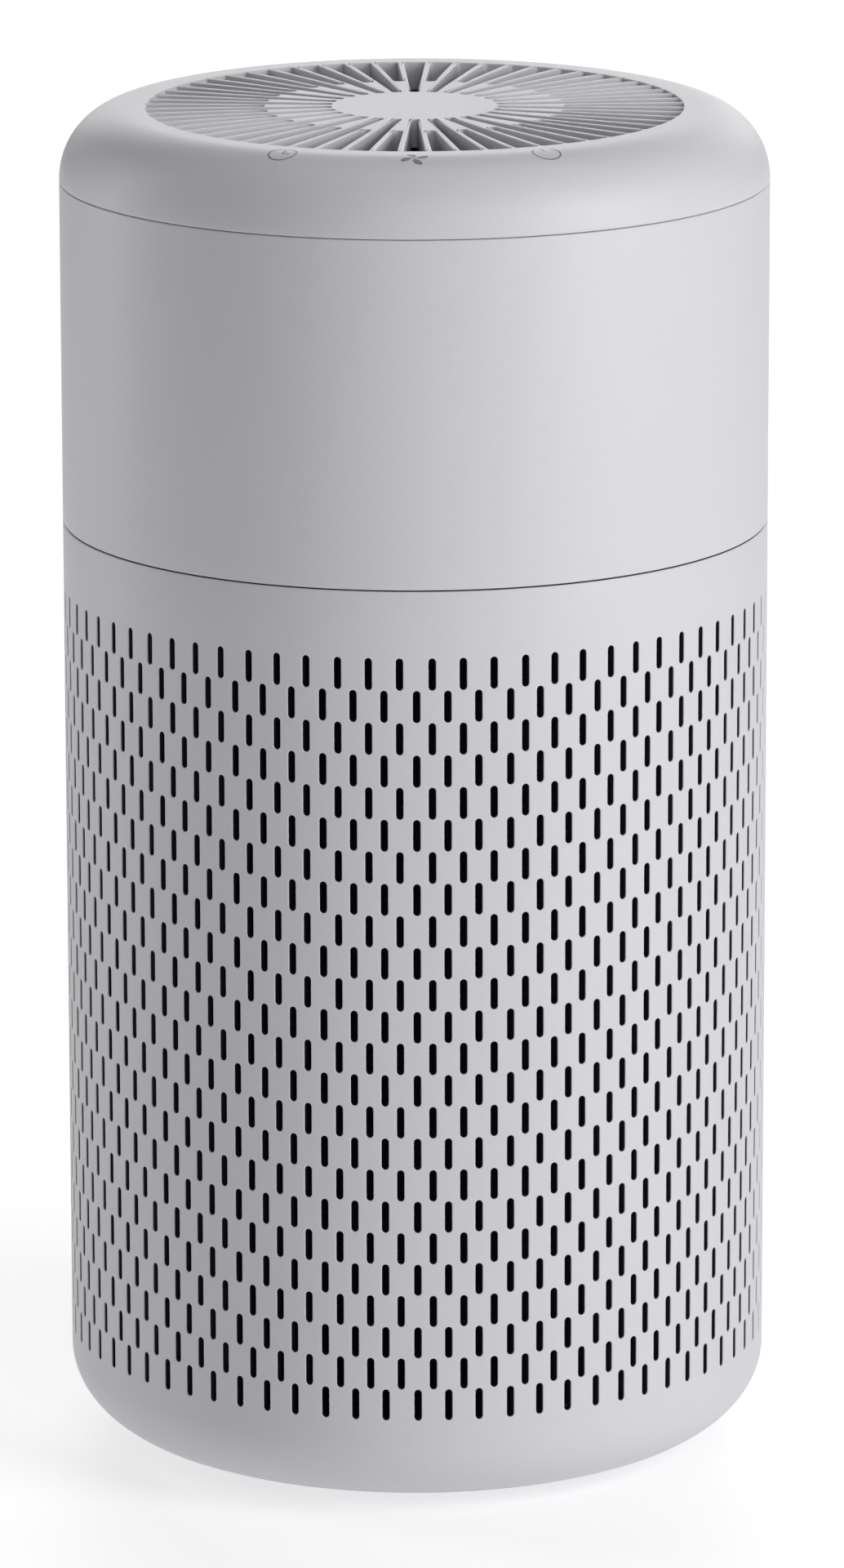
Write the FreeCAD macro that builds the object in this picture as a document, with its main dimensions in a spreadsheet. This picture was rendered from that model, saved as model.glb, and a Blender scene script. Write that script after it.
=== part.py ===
import FreeCAD, Part
import math
import os
import re
import Sketcher

# A free-standing tower air purifier, in millimetres.
# +Z is up, -Y is the front, and the origin is the centre of the footprint on the floor.
# Air enters through the slotted sleeve, crosses the filter cartridge from outside to inside,
# is lifted by the fan through the bell mouth, and leaves through the grille in the top cover.

# ---------------------------------------------------------------- driving dimensions
SIZES = {
    # outer body
    "outer_radius": 100,
    "housing_height": 97.3,
    "wall": 3,
    "seam_gap": 0.3,
    "sleeve_seam_height": 268.5,
    "cover_rise": 20.2,
    "shoulder_depth": 19,
    "base_corner_depth": 28,
    "base_corner_rise": 23,
    "foot_height": 2.5,
    # sleeve slots
    "slot_width": 1.9,
    "slot_length": 8.8,
    "slot_chamfer": 0.55,
    "row_pitch": 9.106,
    "row_count": 12,
    "column_pitch": 4.28,
    "lowest_row_height": 35.7,
    "sector_count": 24,
    "sector_columns": 3,
    # outlet grille
    "grille_radius": 75.7,
    "grille_depth": 8,
    "hub_radius": 23.4,
    "long_slot_count": 30,
    "long_slot_half_angle": 2.33,
    "short_slot_start": 42,
    "short_slot_inner_half": 1.29,
    "short_slot_outer_half": 3.1,
    "hub_recess_depth": 5,
    "collar_depth": 14.5,
    "collar_wall": 2.5,
    # housing and deck
    "spigot_gap": 0.4,
    "spigot_wall": 3,
    "spigot_depth": 8.5,
    "deck_thickness": 3,
    "deck_bore_gap": 1.5,
    "snap_count": 6,
    "snap_width": 12,
    "snap_reach": 10,
    "snap_root": 9,
    "snap_thickness": 2,
    "snap_gap": 0.8,
    # fan shroud and stator
    "collar_step": 2.3,
    "shroud_wall": 2.5,
    "seal_thickness": 1.5,
    "flange_inset": 4,
    "flange_thickness": 3,
    "hub_cup_radius": 36,
    "hub_plate_lift": 58,
    "hub_plate_thickness": 3,
    "hub_skirt_lift": 49,
    "hub_top_lift": 86,
    "vane_count": 11,
    "vane_thickness": 2,
    "vane_height": 24,
    "vane_lean": 14,
    "cable_hole_radius": 3.5,
    "cable_lift": 92,
    "cable_drop_offset": 17,
    # inlet ring and guard
    "inlet_ring_step": 1,
    "inlet_thickness": 3,
    "bell_radius": 43.5,
    "bell_wall": 2.5,
    "bell_lift": 13,
    "guard_rim_width": 1.8,
    "guard_thickness": 2.4,
    "guard_bar_width": 1.6,
    "guard_ring_pitch": 10,
    "guard_spoke_count": 6,
    "deck_screw_count": 6,
    "screw_radius": 1.5,
    "screw_head_radius": 2.9,
    "screw_head_height": 2,
    "screw_hole_gap": 0.05,
    "screw_drive_width": 0.8,
    "screw_drive_length": 3.2,
    "screw_drive_depth": 0.9,
    "small_screw_radius": 0.9,
    # impeller
    "impeller_radius": 62,
    "impeller_plate": 2.5,
    "impeller_top_lift": 45.5,
    "impeller_ring_lift": 14,
    "impeller_ring_thickness": 2,
    "impeller_eye_radius": 48,
    "impeller_neck_lift": 10,
    "impeller_hub_wall": 2,
    "impeller_floor_lift": 23,
    "blade_count": 9,
    "blade_thickness": 1.8,
    "blade_arc_radius": 38,
    "blade_centre_radius": 33,
    "blade_centre_angle": 160.4,
    "blade_tip_angle": 100.3,
    "blade_root_angle": 35.2,
    # motor
    "shaft_radius": 1.5,
    "shaft_low_lift": 24,
    "shaft_top_lift": 57,
    "shaft_running_gap": 0.03,
    "bearing_radius": 4,
    "bearing_height": 4,
    "bearing_tube_wall": 2.2,
    "bearing_tube_lift": 30,
    "bell_outer_radius": 24.2,
    "bell_steel": 1.2,
    "bell_low_lift": 26,
    "bell_top_lift": 51,
    "magnet_thickness": 1.4,
    "magnet_low_lift": 34,
    "magnet_height": 15,
    "air_gap": 0.6,
    "stator_low_lift": 37,
    "stator_height": 12,
    "tooth_count": 9,
    "tooth_width": 4.4,
    "tooth_tip_depth": 2,
    "tooth_tip_share": 0.86,
    "yoke_radius": 9.5,
    "winding_build": 1.5,
    "driver_board_lift": 53,
    "board_thickness": 1.6,
    "driver_board_radius": 26,
    "driver_screw_ring_radius": 23,
    "clip_radius": 3,
    "clip_thickness": 0.5,
    # controls
    "touch_inset": 15.5,
    "touch_angle": 25.2,
    "touch_pad_radius": 5,
    "touch_pad_gap": 0.1,
    "touch_pad_height": 5.4,
    "control_board_gap": 1.2,
    "control_board_inset": 8.5,
    "control_board_half_angle": 37,
    "post_radius": 2.4,
    "post_angle": 11.7,
    # power
    "inlet_socket_lift": 25,
    "socket_width": 11,
    "socket_tall": 9,
    "socket_setback": 1.5,
    "socket_bore_radius": 2.75,
    "socket_bore_depth": 10,
    "socket_pin_radius": 1,
    "socket_hole_gap": 0.4,
    "power_board_gap": 1.9,
    "power_board_width": 60,
    "power_board_height": 50,
    "capacitor_radius": 4,
    "capacitor_height": 14,
    "capacitor_spread": 16,
    "capacitor_lift": 22,
    "cable_radius": 1.5,
    "cable_bend_radius": 6,
    "control_cable_offset": 22,
    "control_cable_drop": 8,
    "control_cable_bends": 8,
    # filter cartridge
    "filter_gap": 1.5,
    "filter_seat_gap": 3,
    "cap_thickness": 4,
    "gasket_thickness": 3,
    "gasket_inner_radius": 52,
    "gasket_inset": 6,
    "mesh_thickness": 0.8,
    "cap_lip": 2.2,
    "pleat_count": 72,
    "pleat_gap": 0.4,
    "pleat_inner_radius": 50.4,
    "pleat_thickness": 1.2,
    "carbon_thickness": 2,
    "carbon_gap": 0.6,
    "tab_length": 70,
    "tab_width": 16,
    "tab_thickness": 1,
    # base door
    "door_inset": 14,
    "door_gap": 0.6,
    "door_rim_wall": 3,
    "door_collar_inset": 8.5,
    "door_collar_wall": 2.5,
    "door_collar_top": 17,
    "ledge_gap": 2,
    "ledge_low_height": 9.6,
    "ledge_thickness": 3.2,
    "lug_count": 3,
    "lug_reach": 5,
    "lug_half_angle": 10,
    "lug_thickness": 3.6,
    "notch_half_angle": 11.5,
    "release_angle": 24,
    "stop_angle": 3,
    "stop_gap_angle": 0.6,
    "stop_height": 3.4,
    "grip_length": 74,
    "grip_depth": 10.5,
    "grip_well_width": 20,
    "grip_bar_width": 14,
    "grip_wall": 2,
    "pad_radius": 7,
    "pad_ring_radius": 60,
    "pad_recess": 0.8,
    "pad_count": 4,
}

# ---------------------------------------------------------------- sizes that follow from the others
FITS = {
    "cover_seam_height": "sleeve_seam_height + housing_height",
    "total_height": "cover_seam_height + cover_rise",
    "deck_height": "sleeve_seam_height - spigot_depth",
    "shroud_radius": "grille_radius + collar_step",
    "shroud_top_height": "total_height - collar_depth - seal_thickness",
    "flange_radius": "outer_radius - wall - flange_inset",
    "inlet_ring_radius": "flange_radius - inlet_ring_step",
    "deck_bore_radius": "shroud_radius + shroud_wall + deck_bore_gap",
    "deck_screw_ring_radius": "(deck_bore_radius + inlet_ring_radius) / 2",
    "hub_plate_height": "deck_height + hub_plate_lift",
    "hub_skirt_height": "deck_height + hub_skirt_lift",
    "hub_top_height": "deck_height + hub_top_lift",
    "cable_level": "deck_height + cable_lift",
    "bell_height": "deck_height + bell_lift",
    "impeller_top_height": "deck_height + impeller_top_lift",
    "impeller_ring_height": "deck_height + impeller_ring_lift",
    "impeller_neck_height": "deck_height + impeller_neck_lift",
    "impeller_floor_height": "deck_height + impeller_floor_lift",
    "shaft_low_height": "deck_height + shaft_low_lift",
    "shaft_top_height": "deck_height + shaft_top_lift",
    "bearing_tube_low": "deck_height + bearing_tube_lift",
    "bell_low_height": "deck_height + bell_low_lift",
    "bell_top_height": "deck_height + bell_top_lift",
    "magnet_low_height": "deck_height + magnet_low_lift",
    "stator_low_height": "deck_height + stator_low_lift",
    "driver_board_height": "deck_height + driver_board_lift",
    "inlet_socket_height": "deck_height + inlet_socket_lift",
    "touch_ring_radius": "outer_radius - touch_inset",
    "control_board_height": "total_height - wall - touch_pad_height - board_thickness",
    "control_board_inner": "grille_radius + collar_wall + control_board_gap",
    "control_board_outer": "outer_radius - control_board_inset",
    "power_board_front": "shroud_radius + shroud_wall + power_board_gap",
    "door_radius": "outer_radius - door_inset",
    "door_collar_radius": "door_radius - door_collar_inset",
    "ledge_inner_radius": "door_collar_radius + ledge_gap",
    "filter_radius": "ledge_inner_radius - filter_gap",
    "filter_bottom_height": "door_collar_top + filter_seat_gap",
    "gasket_outer_radius": "filter_radius - gasket_inset",
    "mesh_radius": "filter_radius - cap_lip",
    "pleat_outer_radius": "mesh_radius - mesh_thickness - pleat_gap",
    "carbon_outer_radius": "pleat_inner_radius - carbon_gap",
}

doc = FreeCAD.newDocument("air_purifier")
sheet = doc.addObject("Spreadsheet::Sheet", "Sizes")
NAMES = list(SIZES) + list(FITS)
for row, name in enumerate(NAMES, start=1):
    sheet.set(f"A{row}", name)
    sheet.setAlias(f"B{row}", name)
for row, content in enumerate([*SIZES.values(), *(f"={formula}" for formula in FITS.values())], start=1):
    sheet.set(f"B{row}", str(content))
doc.recompute()

subparts = []


def bind(text):
    """Turns bare size names in a formula into references to the sheet."""
    return re.sub(r"[a-z][a-z_0-9]*", lambda word: f"Sizes.{word[0]}" if word[0] in NAMES else word[0], str(text))


def value(text):
    """The present number of a formula of sizes."""
    return float(sheet.evalExpression(bind(text)))


# ---------------------------------------------------------------- shared formulas
# The two rounded corners are quarter ovals, each drawn as a tight arc at the side of the
# body running tangent into a wide arc at its end.
def oval(depth, rise):
    """Formulas for a quarter oval: its two radii and where they meet, from its corner's centre."""
    diagonal = f"sqrt(({depth})^2 + ({rise})^2)"
    tight = f"((({depth})^2 + ({rise})^2 - (({depth}) - ({rise})) * {diagonal}) / (2 * ({depth})))"
    wide = f"((({depth})^2 + ({rise})^2 + (({depth}) - ({rise})) * {diagonal}) / (2 * ({rise})))"
    return tight, wide


sleeve_low = "(foot_height + base_corner_rise)"
sleeve_high = "(sleeve_seam_height - seam_gap / 2)"
housing_low = "(sleeve_seam_height + seam_gap / 2)"
housing_high = "(cover_seam_height - seam_gap / 2)"
cover_low = "(cover_seam_height + seam_gap / 2)"
shoulder_rise = "(total_height - cover_seam_height - seam_gap / 2)"
spigot_radius = "(outer_radius - wall - spigot_gap)"
flange_low = "(deck_height + deck_thickness)"
inlet_low = "(deck_height - inlet_thickness)"
gasket_low = f"({inlet_low} - gasket_thickness)"
top_cap_low = f"({gasket_low} - cap_thickness)"
media_low = "(filter_bottom_height + cap_thickness)"
magnet_inner = "(bell_outer_radius - bell_steel - magnet_thickness)"
stator_radius = f"({magnet_inner} - air_gap)"
tube_radius = "(bearing_radius + bearing_tube_wall)"
ledge_top = "(ledge_low_height + ledge_thickness)"
cover_under = "(total_height - wall)"
board_top = "(control_board_height + board_thickness)"
lug_low = "(door_collar_top - lug_thickness)"


# ---------------------------------------------------------------- drawing helpers
class Piece:
    """A PartDesign body built feature by feature, with every size bound to the sheet."""

    def __init__(self, label, kept=True):
        self.body = doc.addObject("PartDesign::Body", label)
        self.body.Label = label
        self.label = label
        doc.recompute()
        if kept:
            subparts.append(self.body)

    def plane(self, role):
        return next(item for item in self.body.Origin.OriginFeatures if item.Role == role)

    def sketch(self, role, outlines, offset="0"):
        """Closed outlines of (x, y) formulas. A third item on a point is the radius of the arc
        that leads on from it, positive when the arc turns anticlockwise."""
        sketch = self.body.newObject("Sketcher::SketchObject", f"{self.label}_outline")
        sketch.AttachmentSupport = [(self.plane(role), "")]
        sketch.MapMode = "FlatFace"
        sketch.setExpression("AttachmentOffset.Base.z", bind(offset))
        for outline in outlines:
            self.draw(sketch, outline)
        doc.recompute()
        return sketch

    def draw(self, sketch, outline):
        first = sketch.GeometryCount
        spots = [FreeCAD.Vector(value(point[0]), value(point[1]), 0) for point in outline]
        starts = []
        for index, point in enumerate(outline):
            here = spots[index]
            there = spots[(index + 1) % len(spots)]
            if len(point) == 3:
                sketch.addGeometry(arc_between(here, there, value(point[2])), False)
                # An arc is stored anticlockwise, so a clockwise one starts at its far end.
                starts.append(1 if value(point[2]) > 0 else 2)
            else:
                sketch.addGeometry(Part.LineSegment(here, there), False)
                starts.append(1)
        rules = []
        formulas = []
        for index, point in enumerate(outline):
            following = (index + 1) % len(outline)
            end = 3 - starts[index]
            rules.append(Sketcher.Constraint("Coincident", first + index, end,
                                             first + following, starts[following]))
            formulas.append(None)
            rules.append(Sketcher.Constraint("DistanceX", -1, 1, first + index, starts[index], spots[index].x))
            formulas.append(point[0])
            rules.append(Sketcher.Constraint("DistanceY", -1, 1, first + index, starts[index], spots[index].y))
            formulas.append(point[1])
            if len(point) == 3:
                rules.append(Sketcher.Constraint("Radius", first + index, abs(value(point[2]))))
                formulas.append(f"abs({point[2]})")
        count = sketch.ConstraintCount
        sketch.addConstraint(rules)
        for index, formula in enumerate(formulas):
            if formula is not None:
                sketch.setExpression(f"Constraints[{count + index}]", bind(formula))

    def circle(self, role, spots, radius, offset="0"):
        """A sketch of equal circles at (x, y) formulas."""
        sketch = self.body.newObject("Sketcher::SketchObject", f"{self.label}_circles")
        sketch.AttachmentSupport = [(self.plane(role), "")]
        sketch.MapMode = "FlatFace"
        sketch.setExpression("AttachmentOffset.Base.z", bind(offset))
        for index, (across, along) in enumerate(spots):
            centre = FreeCAD.Vector(value(across), value(along), 0)
            sketch.addGeometry(Part.Circle(centre, FreeCAD.Vector(0, 0, 1), value(radius)), False)
            count = sketch.ConstraintCount
            sketch.addConstraint([
                Sketcher.Constraint("DistanceX", -1, 1, index, 3, centre.x),
                Sketcher.Constraint("DistanceY", -1, 1, index, 3, centre.y),
                Sketcher.Constraint("Radius", index, value(radius)),
            ])
            for step, formula in enumerate((across, along, radius)):
                sketch.setExpression(f"Constraints[{count + step}]", bind(formula))
        doc.recompute()
        return sketch

    def add(self, kind, sketch, length=None):
        feature = self.body.newObject(f"PartDesign::{kind}", f"{self.label}_{kind.lower()}")
        feature.Profile = sketch
        if length is None:
            feature.ReferenceAxis = (sketch, ["V_Axis"])
            feature.Angle = 360
        else:
            feature.Type = 0
            feature.setExpression("Length", bind(length))
        self.body.Tip = feature
        doc.recompute()
        return feature

    def revolve(self, outline):
        return self.add("Revolution", self.sketch("XZ_Plane", [outline]))

    def pad(self, outlines, low, high):
        return self.add("Pad", self.sketch("XY_Plane", outlines, low), f"({high}) - ({low})")

    def pad_circles(self, spots, radius, low, high):
        return self.add("Pad", self.circle("XY_Plane", spots, radius, low), f"({high}) - ({low})")

    def cut(self, sketch, length):
        """A pocket, which has to remove material."""
        before = self.body.Shape.Volume
        feature = self.add("Pocket", sketch, length)
        if not self.body.Shape.Volume < before:
            raise RuntimeError(f"{self.label}: a pocket cuts nothing")
        return feature

    def pocket(self, outlines, low, high):
        """Cuts down from the height high to the height low."""
        return self.cut(self.sketch("XY_Plane", outlines, high), f"({high}) - ({low})")

    def pocket_circles(self, spots, radius, low, high):
        return self.cut(self.circle("XY_Plane", spots, radius, high), f"({high}) - ({low})")

    def around(self, feature, count):
        """Repeats a feature about the vertical axis."""
        pattern = self.body.newObject("PartDesign::PolarPattern", f"{self.label}_pattern")
        pattern.Originals = [feature]
        pattern.Axis = (feature.Profile[0], ["N_Axis"])
        pattern.Angle = 360
        pattern.setExpression("Occurrences", bind(count))
        self.body.Tip = pattern
        doc.recompute()
        return pattern


def arc_between(here, there, radius):
    """The shorter arc from here to there, turning anticlockwise for a positive radius."""
    middle = (here + there) * 0.5
    chord = there - here
    half = chord.Length / 2
    size = abs(radius)
    back = math.sqrt(max(size * size - half * half, 0))
    side = FreeCAD.Vector(-chord.y, chord.x, 0).normalize()
    if radius < 0:
        side = side * -1
    centre = middle + side * back
    start = math.atan2(here.y - centre.y, here.x - centre.x)
    finish = math.atan2(there.y - centre.y, there.x - centre.x)
    if radius < 0:
        start, finish = finish, start
    ring = Part.Circle(centre, FreeCAD.Vector(0, 0, 1), size)
    return Part.ArcOfCircle(ring, start, finish)


def ring_outline(inner, outer, low, high):
    return [(inner, low), (outer, low), (outer, high), (inner, high)]


def ring(label, inner, outer, low, high, kept=True):
    """A plain ring or disc, revolved."""
    piece = Piece(label, kept)
    piece.revolve(ring_outline(inner, outer, low, high))
    return piece


def box_outline(left, right, near, far):
    return [(left, near), (right, near), (right, far), (left, far)]


def polar(radius, angle, centre=("0", "0")):
    """Formulas for a point at a radius and an angle in degrees from +X, about a centre."""
    return f"({centre[0]} + ({radius}) * cos({angle}))", f"({centre[1]} + ({radius}) * sin({angle}))"


def sector_outline(inner, outer, first, last, centre=("0", "0")):
    """A sector of a ring about a centre, between two angle formulas."""
    return [
        polar(inner, first, centre),
        (*polar(outer, first, centre), outer),
        polar(outer, last, centre),
        (*polar(inner, last, centre), f"-({inner})"),
    ]


def plain_feature(label, shape):
    """A sub-part whose shape comes straight from Part's own functions."""
    feature = doc.addObject("Part::Feature", label)
    feature.Label = label
    feature.Shape = shape
    feature.Placement = FreeCAD.Placement()
    subparts.append(feature)
    return feature


def screw(head, spot, tip_height, upward):
    """A pan-head screw at spot, its head's bearing face at the height head."""
    radius = value("screw_radius")
    sign = 1 if upward else -1
    place = FreeCAD.Vector(spot[0], spot[1], head)
    axis = FreeCAD.Vector(0, 0, sign)
    shank = Part.makeCylinder(radius, abs(tip_height - head), place, axis)
    cap = Part.makeCylinder(value("screw_head_radius"), value("screw_head_height"), place, axis * -1)
    wide, long, deep = value("screw_drive_width"), value("screw_drive_length"), value("screw_drive_depth")
    drive = Part.makeBox(wide, long, deep, FreeCAD.Vector(-wide / 2, -long / 2, 0 if upward else -deep))
    drive.translate(place + axis * -value("screw_head_height"))
    return cap.fuse(shank).removeSplitter().cut(drive)


def on_circle(radius, angle):
    return value(radius) * math.cos(math.radians(angle)), value(radius) * math.sin(math.radians(angle))


def cable(label, points, bends):
    """A round cable along straight runs joined by tangent arcs, one bend radius per inner point."""
    edges = []
    here = points[0]
    for index in range(1, len(points) - 1):
        corner = points[index]
        back = (points[index - 1] - corner).normalize()
        on = (points[index + 1] - corner).normalize()
        half = back.getAngle(on) / 2
        reach = bends[index - 1] / math.tan(half)
        first = corner + back * reach
        last = corner + on * reach
        middle = corner + (back + on).normalize() * (bends[index - 1] / math.sin(half) - bends[index - 1])
        edges.append(Part.LineSegment(here, first).toShape())
        edges.append(Part.Arc(first, middle, last).toShape())
        here = last
    edges.append(Part.LineSegment(here, points[-1]).toShape())
    path = Part.Wire(edges)
    radius = value("cable_radius")
    section = Part.Wire(Part.makeCircle(radius, points[0], points[1] - points[0]))
    solid = path.makePipeShell([section], True, False)
    expected = math.pi * radius * radius * path.Length
    if abs(solid.Volume - expected) > 0.02 * expected:
        raise RuntimeError(f"{label}: the swept volume is wrong")
    return plain_feature(label, solid)


# ---------------------------------------------------------------- sleeve
def make_lower_shell():
    """The slotted sleeve: one 15 degree sector is cut and repeated, then joined to the foot ring."""
    tight, wide = oval("base_corner_depth", "base_corner_rise")
    sector = Piece("sleeve_sector", kept=False)
    wall_outline = ring_outline("outer_radius - wall", "outer_radius", sleeve_low, sleeve_high)
    turned = sector.revolve(wall_outline)
    turned.setExpression("Angle", bind("360 / sector_count"))
    turned.Midplane = True
    doc.recompute()
    slots = []
    for column in range(int(value("sector_columns"))):
        for lane in (0, 1):
            middle = f"(({2 * column + lane} - sector_columns + 0.5) * column_pitch)"
            level = f"(lowest_row_height + {lane} * row_pitch)"
            slots.append(slot_outline(middle, level))
    cutter = sector.sketch("YZ_Plane", slots, "outer_radius + wall")
    pocket = sector.cut(cutter, "4 * wall")
    rows = sector.body.newObject("PartDesign::LinearPattern", "sleeve_rows")
    rows.Originals = [pocket]
    rows.Direction = (cutter, ["V_Axis"])
    rows.setExpression("Length", bind("2 * row_pitch * (row_count - 1)"))
    rows.setExpression("Occurrences", bind("row_count"))
    sector.body.Tip = rows
    doc.recompute()

    foot = Piece("sleeve_foot", kept=False)
    corner_centre = f"(outer_radius - {tight})"
    wide_centre = f"(foot_height + {wide})"
    corner = "(outer_radius - base_corner_depth)"
    tip = "(door_radius + door_gap)"
    tip_height = f"({wide_centre} - sqrt({wide}^2 - ({tip} - {corner})^2))"
    span = f"sqrt(({corner_centre} - {corner})^2 + ({wide_centre} - {sleeve_low})^2)"
    meet = f"({corner_centre} + {tight} * ({corner_centre} - {corner}) / {span})"
    meet_height = f"({sleeve_low} - {tight} * ({wide_centre} - {sleeve_low}) / {span})"
    inner_end = f"({corner_centre} + sqrt(({tight} - wall)^2 - ({sleeve_low} - {ledge_top})^2))"
    foot.revolve([
        (tip, tip_height, wide),
        (meet, meet_height, tight),
        ("outer_radius", sleeve_low),
        ("outer_radius - wall", sleeve_low, f"-({tight} - wall)"),
        (inner_end, ledge_top),
        ("ledge_inner_radius", ledge_top),
        ("ledge_inner_radius", "ledge_low_height"),
        (tip, "ledge_low_height"),
    ])
    # Three notches let the door's lugs through, and a stop stands at each end of their travel.
    notch = sector_outline("ledge_inner_radius - 1", "door_collar_radius + lug_reach + door_gap",
                           "-90 - release_angle - notch_half_angle",
                           "-90 - release_angle + notch_half_angle")
    cut = foot.pocket([notch], "ledge_low_height - 1", f"{ledge_top} + 1")
    foot.around(cut, "lug_count")
    stop_inner = "ledge_inner_radius + 0.5"
    stop_outer = "door_collar_radius + lug_reach + 2"
    locked = sector_outline(stop_inner, stop_outer,
                            "-90 + lug_half_angle + stop_gap_angle",
                            "-90 + lug_half_angle + stop_gap_angle + stop_angle")
    freed = sector_outline(stop_inner, stop_outer,
                           "-90 - release_angle - notch_half_angle - stop_angle",
                           "-90 - release_angle - notch_half_angle")
    stops = foot.pad([locked, freed], f"{ledge_top} - 1", f"{ledge_top} + stop_height")
    foot.around(stops, "lug_count")

    turn = -90 - math.degrees(math.asin(value("column_pitch / 2") / value("outer_radius")))
    pieces = []
    for index in range(int(value("sector_count"))):
        copy = sector.body.Shape.copy()
        copy.rotate(FreeCAD.Vector(), FreeCAD.Vector(0, 0, 1), turn + 360 / value("sector_count") * index)
        pieces.append(copy)
    plain_feature("lower_shell", foot.body.Shape.multiFuse(pieces))


def slot_outline(middle, level):
    """An upright slot with chamfered ends, centred at two formulas."""
    half = "slot_width / 2"
    end = "slot_length / 2"
    return [
        (f"{middle} - {half} + slot_chamfer", f"{level} - {end}"),
        (f"{middle} + {half} - slot_chamfer", f"{level} - {end}"),
        (f"{middle} + {half}", f"{level} - {end} + slot_chamfer"),
        (f"{middle} + {half}", f"{level} + {end} - slot_chamfer"),
        (f"{middle} + {half} - slot_chamfer", f"{level} + {end}"),
        (f"{middle} - {half} + slot_chamfer", f"{level} + {end}"),
        (f"{middle} - {half}", f"{level} + {end} - slot_chamfer"),
        (f"{middle} - {half}", f"{level} - {end} + slot_chamfer"),
    ]


# ---------------------------------------------------------------- housing and cover
def make_upper_housing():
    """The plain upper body, with a spigot into the sleeve and a deck that carries the fan."""
    spigot_inner = f"({spigot_radius} - spigot_wall)"
    step = f"({housing_low} + wall)"
    housing = Piece("upper_housing")
    housing.revolve([
        ("outer_radius", housing_low),
        ("outer_radius", housing_high),
        ("outer_radius - wall", housing_high),
        ("outer_radius - wall", step),
        (spigot_inner, step),
        (spigot_inner, flange_low),
        ("deck_bore_radius", flange_low),
        ("deck_bore_radius", "deck_height"),
        (spigot_radius, "deck_height"),
        (spigot_radius, housing_low),
    ])
    hole = housing.pocket_circles([polar("deck_screw_ring_radius", "0")], "screw_radius + screw_hole_gap",
                                  "deck_height - 1", f"{flange_low} + 1")
    housing.around(hole, "deck_screw_count")
    # The window for the power socket is cut in the rear wall.
    half = "socket_width / 2 + socket_hole_gap"
    tall = "socket_tall / 2 + socket_hole_gap"
    window = box_outline(f"-({half})", half, f"inlet_socket_height - ({tall})", f"inlet_socket_height + {tall}")
    housing.cut(housing.sketch("XZ_Plane", [window], "-(outer_radius - 3 * wall)"), "4 * wall")


def make_top_cover():
    """The domed cover and its outlet grille, moulded in one with the fan collar below it."""
    tight, wide = oval("shoulder_depth", shoulder_rise)
    crown = "(outer_radius - shoulder_depth)"
    side_centre = f"(outer_radius - {tight})"
    crown_centre = f"(total_height - {wide})"
    span = f"sqrt(({side_centre} - {crown})^2 + ({crown_centre} - {cover_low})^2)"
    lean = f"(({side_centre} - {crown}) / {span})"
    climb = f"(({cover_low} - {crown_centre}) / {span})"
    collar_low = "(total_height - collar_depth)"
    rib_low = "(total_height - grille_depth)"
    cover = Piece("top_cover")
    # When the shoulder rises more than it is deep, the wide arc is the one at the side.
    cover.revolve([
        ("0", "total_height"),
        ("0", "total_height - grille_depth + hub_recess_depth"),
        ("hub_radius - wall", "total_height - grille_depth + hub_recess_depth"),
        ("hub_radius - wall", rib_low),
        ("grille_radius", rib_low),
        ("grille_radius", collar_low),
        ("grille_radius + collar_wall", collar_low),
        ("grille_radius + collar_wall", cover_under),
        (crown, cover_under, f"-({wide} - wall)"),
        (f"{side_centre} + ({tight} - wall) * abs({lean})", f"{cover_low} + ({tight} - wall) * abs({climb})",
         f"-({tight} - wall)"),
        ("outer_radius - wall", cover_low),
        ("outer_radius", cover_low, tight),
        (f"{side_centre} + {tight} * abs({lean})", f"{cover_low} + {tight} * abs({climb})", wide),
        (crown, "total_height"),
    ])
    # Sixty slots: long ones from the hub, and short ones that start part way out.
    long_slot = [
        polar("hub_radius", "-90 - long_slot_half_angle"),
        polar("grille_radius", "-90 - long_slot_half_angle"),
        polar("grille_radius", "-90 + long_slot_half_angle"),
        polar("hub_radius", "-90 + long_slot_half_angle"),
    ]
    cut = cover.pocket([long_slot], f"{rib_low} - 1", "total_height")
    cover.around(cut, "long_slot_count")
    half_turn = "(180 / long_slot_count)"
    inner = "short_slot_start"
    outer = "sqrt(grille_radius^2 - short_slot_outer_half^2)"
    heading = f"(-90 + {half_turn})"
    short_slot = [
        across(inner, "-short_slot_inner_half", heading),
        across(outer, "-short_slot_outer_half", heading),
        across(outer, "short_slot_outer_half", heading),
        across(inner, "short_slot_inner_half", heading),
    ]
    cut = cover.pocket([short_slot], f"{rib_low} - 1", "total_height")
    cover.around(cut, "long_slot_count")
    # Posts carry the control board, and snap tabs hold the cover in the housing.
    posts = []
    for step in (-3, -1, 1, 3):
        posts.append(polar("touch_ring_radius", f"-90 + {step} * post_angle"))
    cover.pad_circles(posts, "post_radius", board_top, f"{cover_under} + wall / 2")
    cover.pocket_circles(posts, "small_screw_radius + screw_hole_gap", f"{board_top} - 1", f"{board_top} + 4")
    tab_outer = "outer_radius - wall - snap_gap"
    tab = box_outline(f"{tab_outer} - snap_thickness", tab_outer, "-snap_width / 2", "snap_width / 2")
    snap = cover.pad([tab], f"{cover_low} - snap_reach", f"{cover_low} + snap_root")
    cover.around(snap, "snap_count")
    return cover.body


def across(radius, shift, heading):
    """Formulas for a point at a radius along a heading, moved sideways by shift."""
    return (f"(({radius}) * cos({heading}) - ({shift}) * sin({heading}))",
            f"(({radius}) * sin({heading}) + ({shift}) * cos({heading}))")


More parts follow.
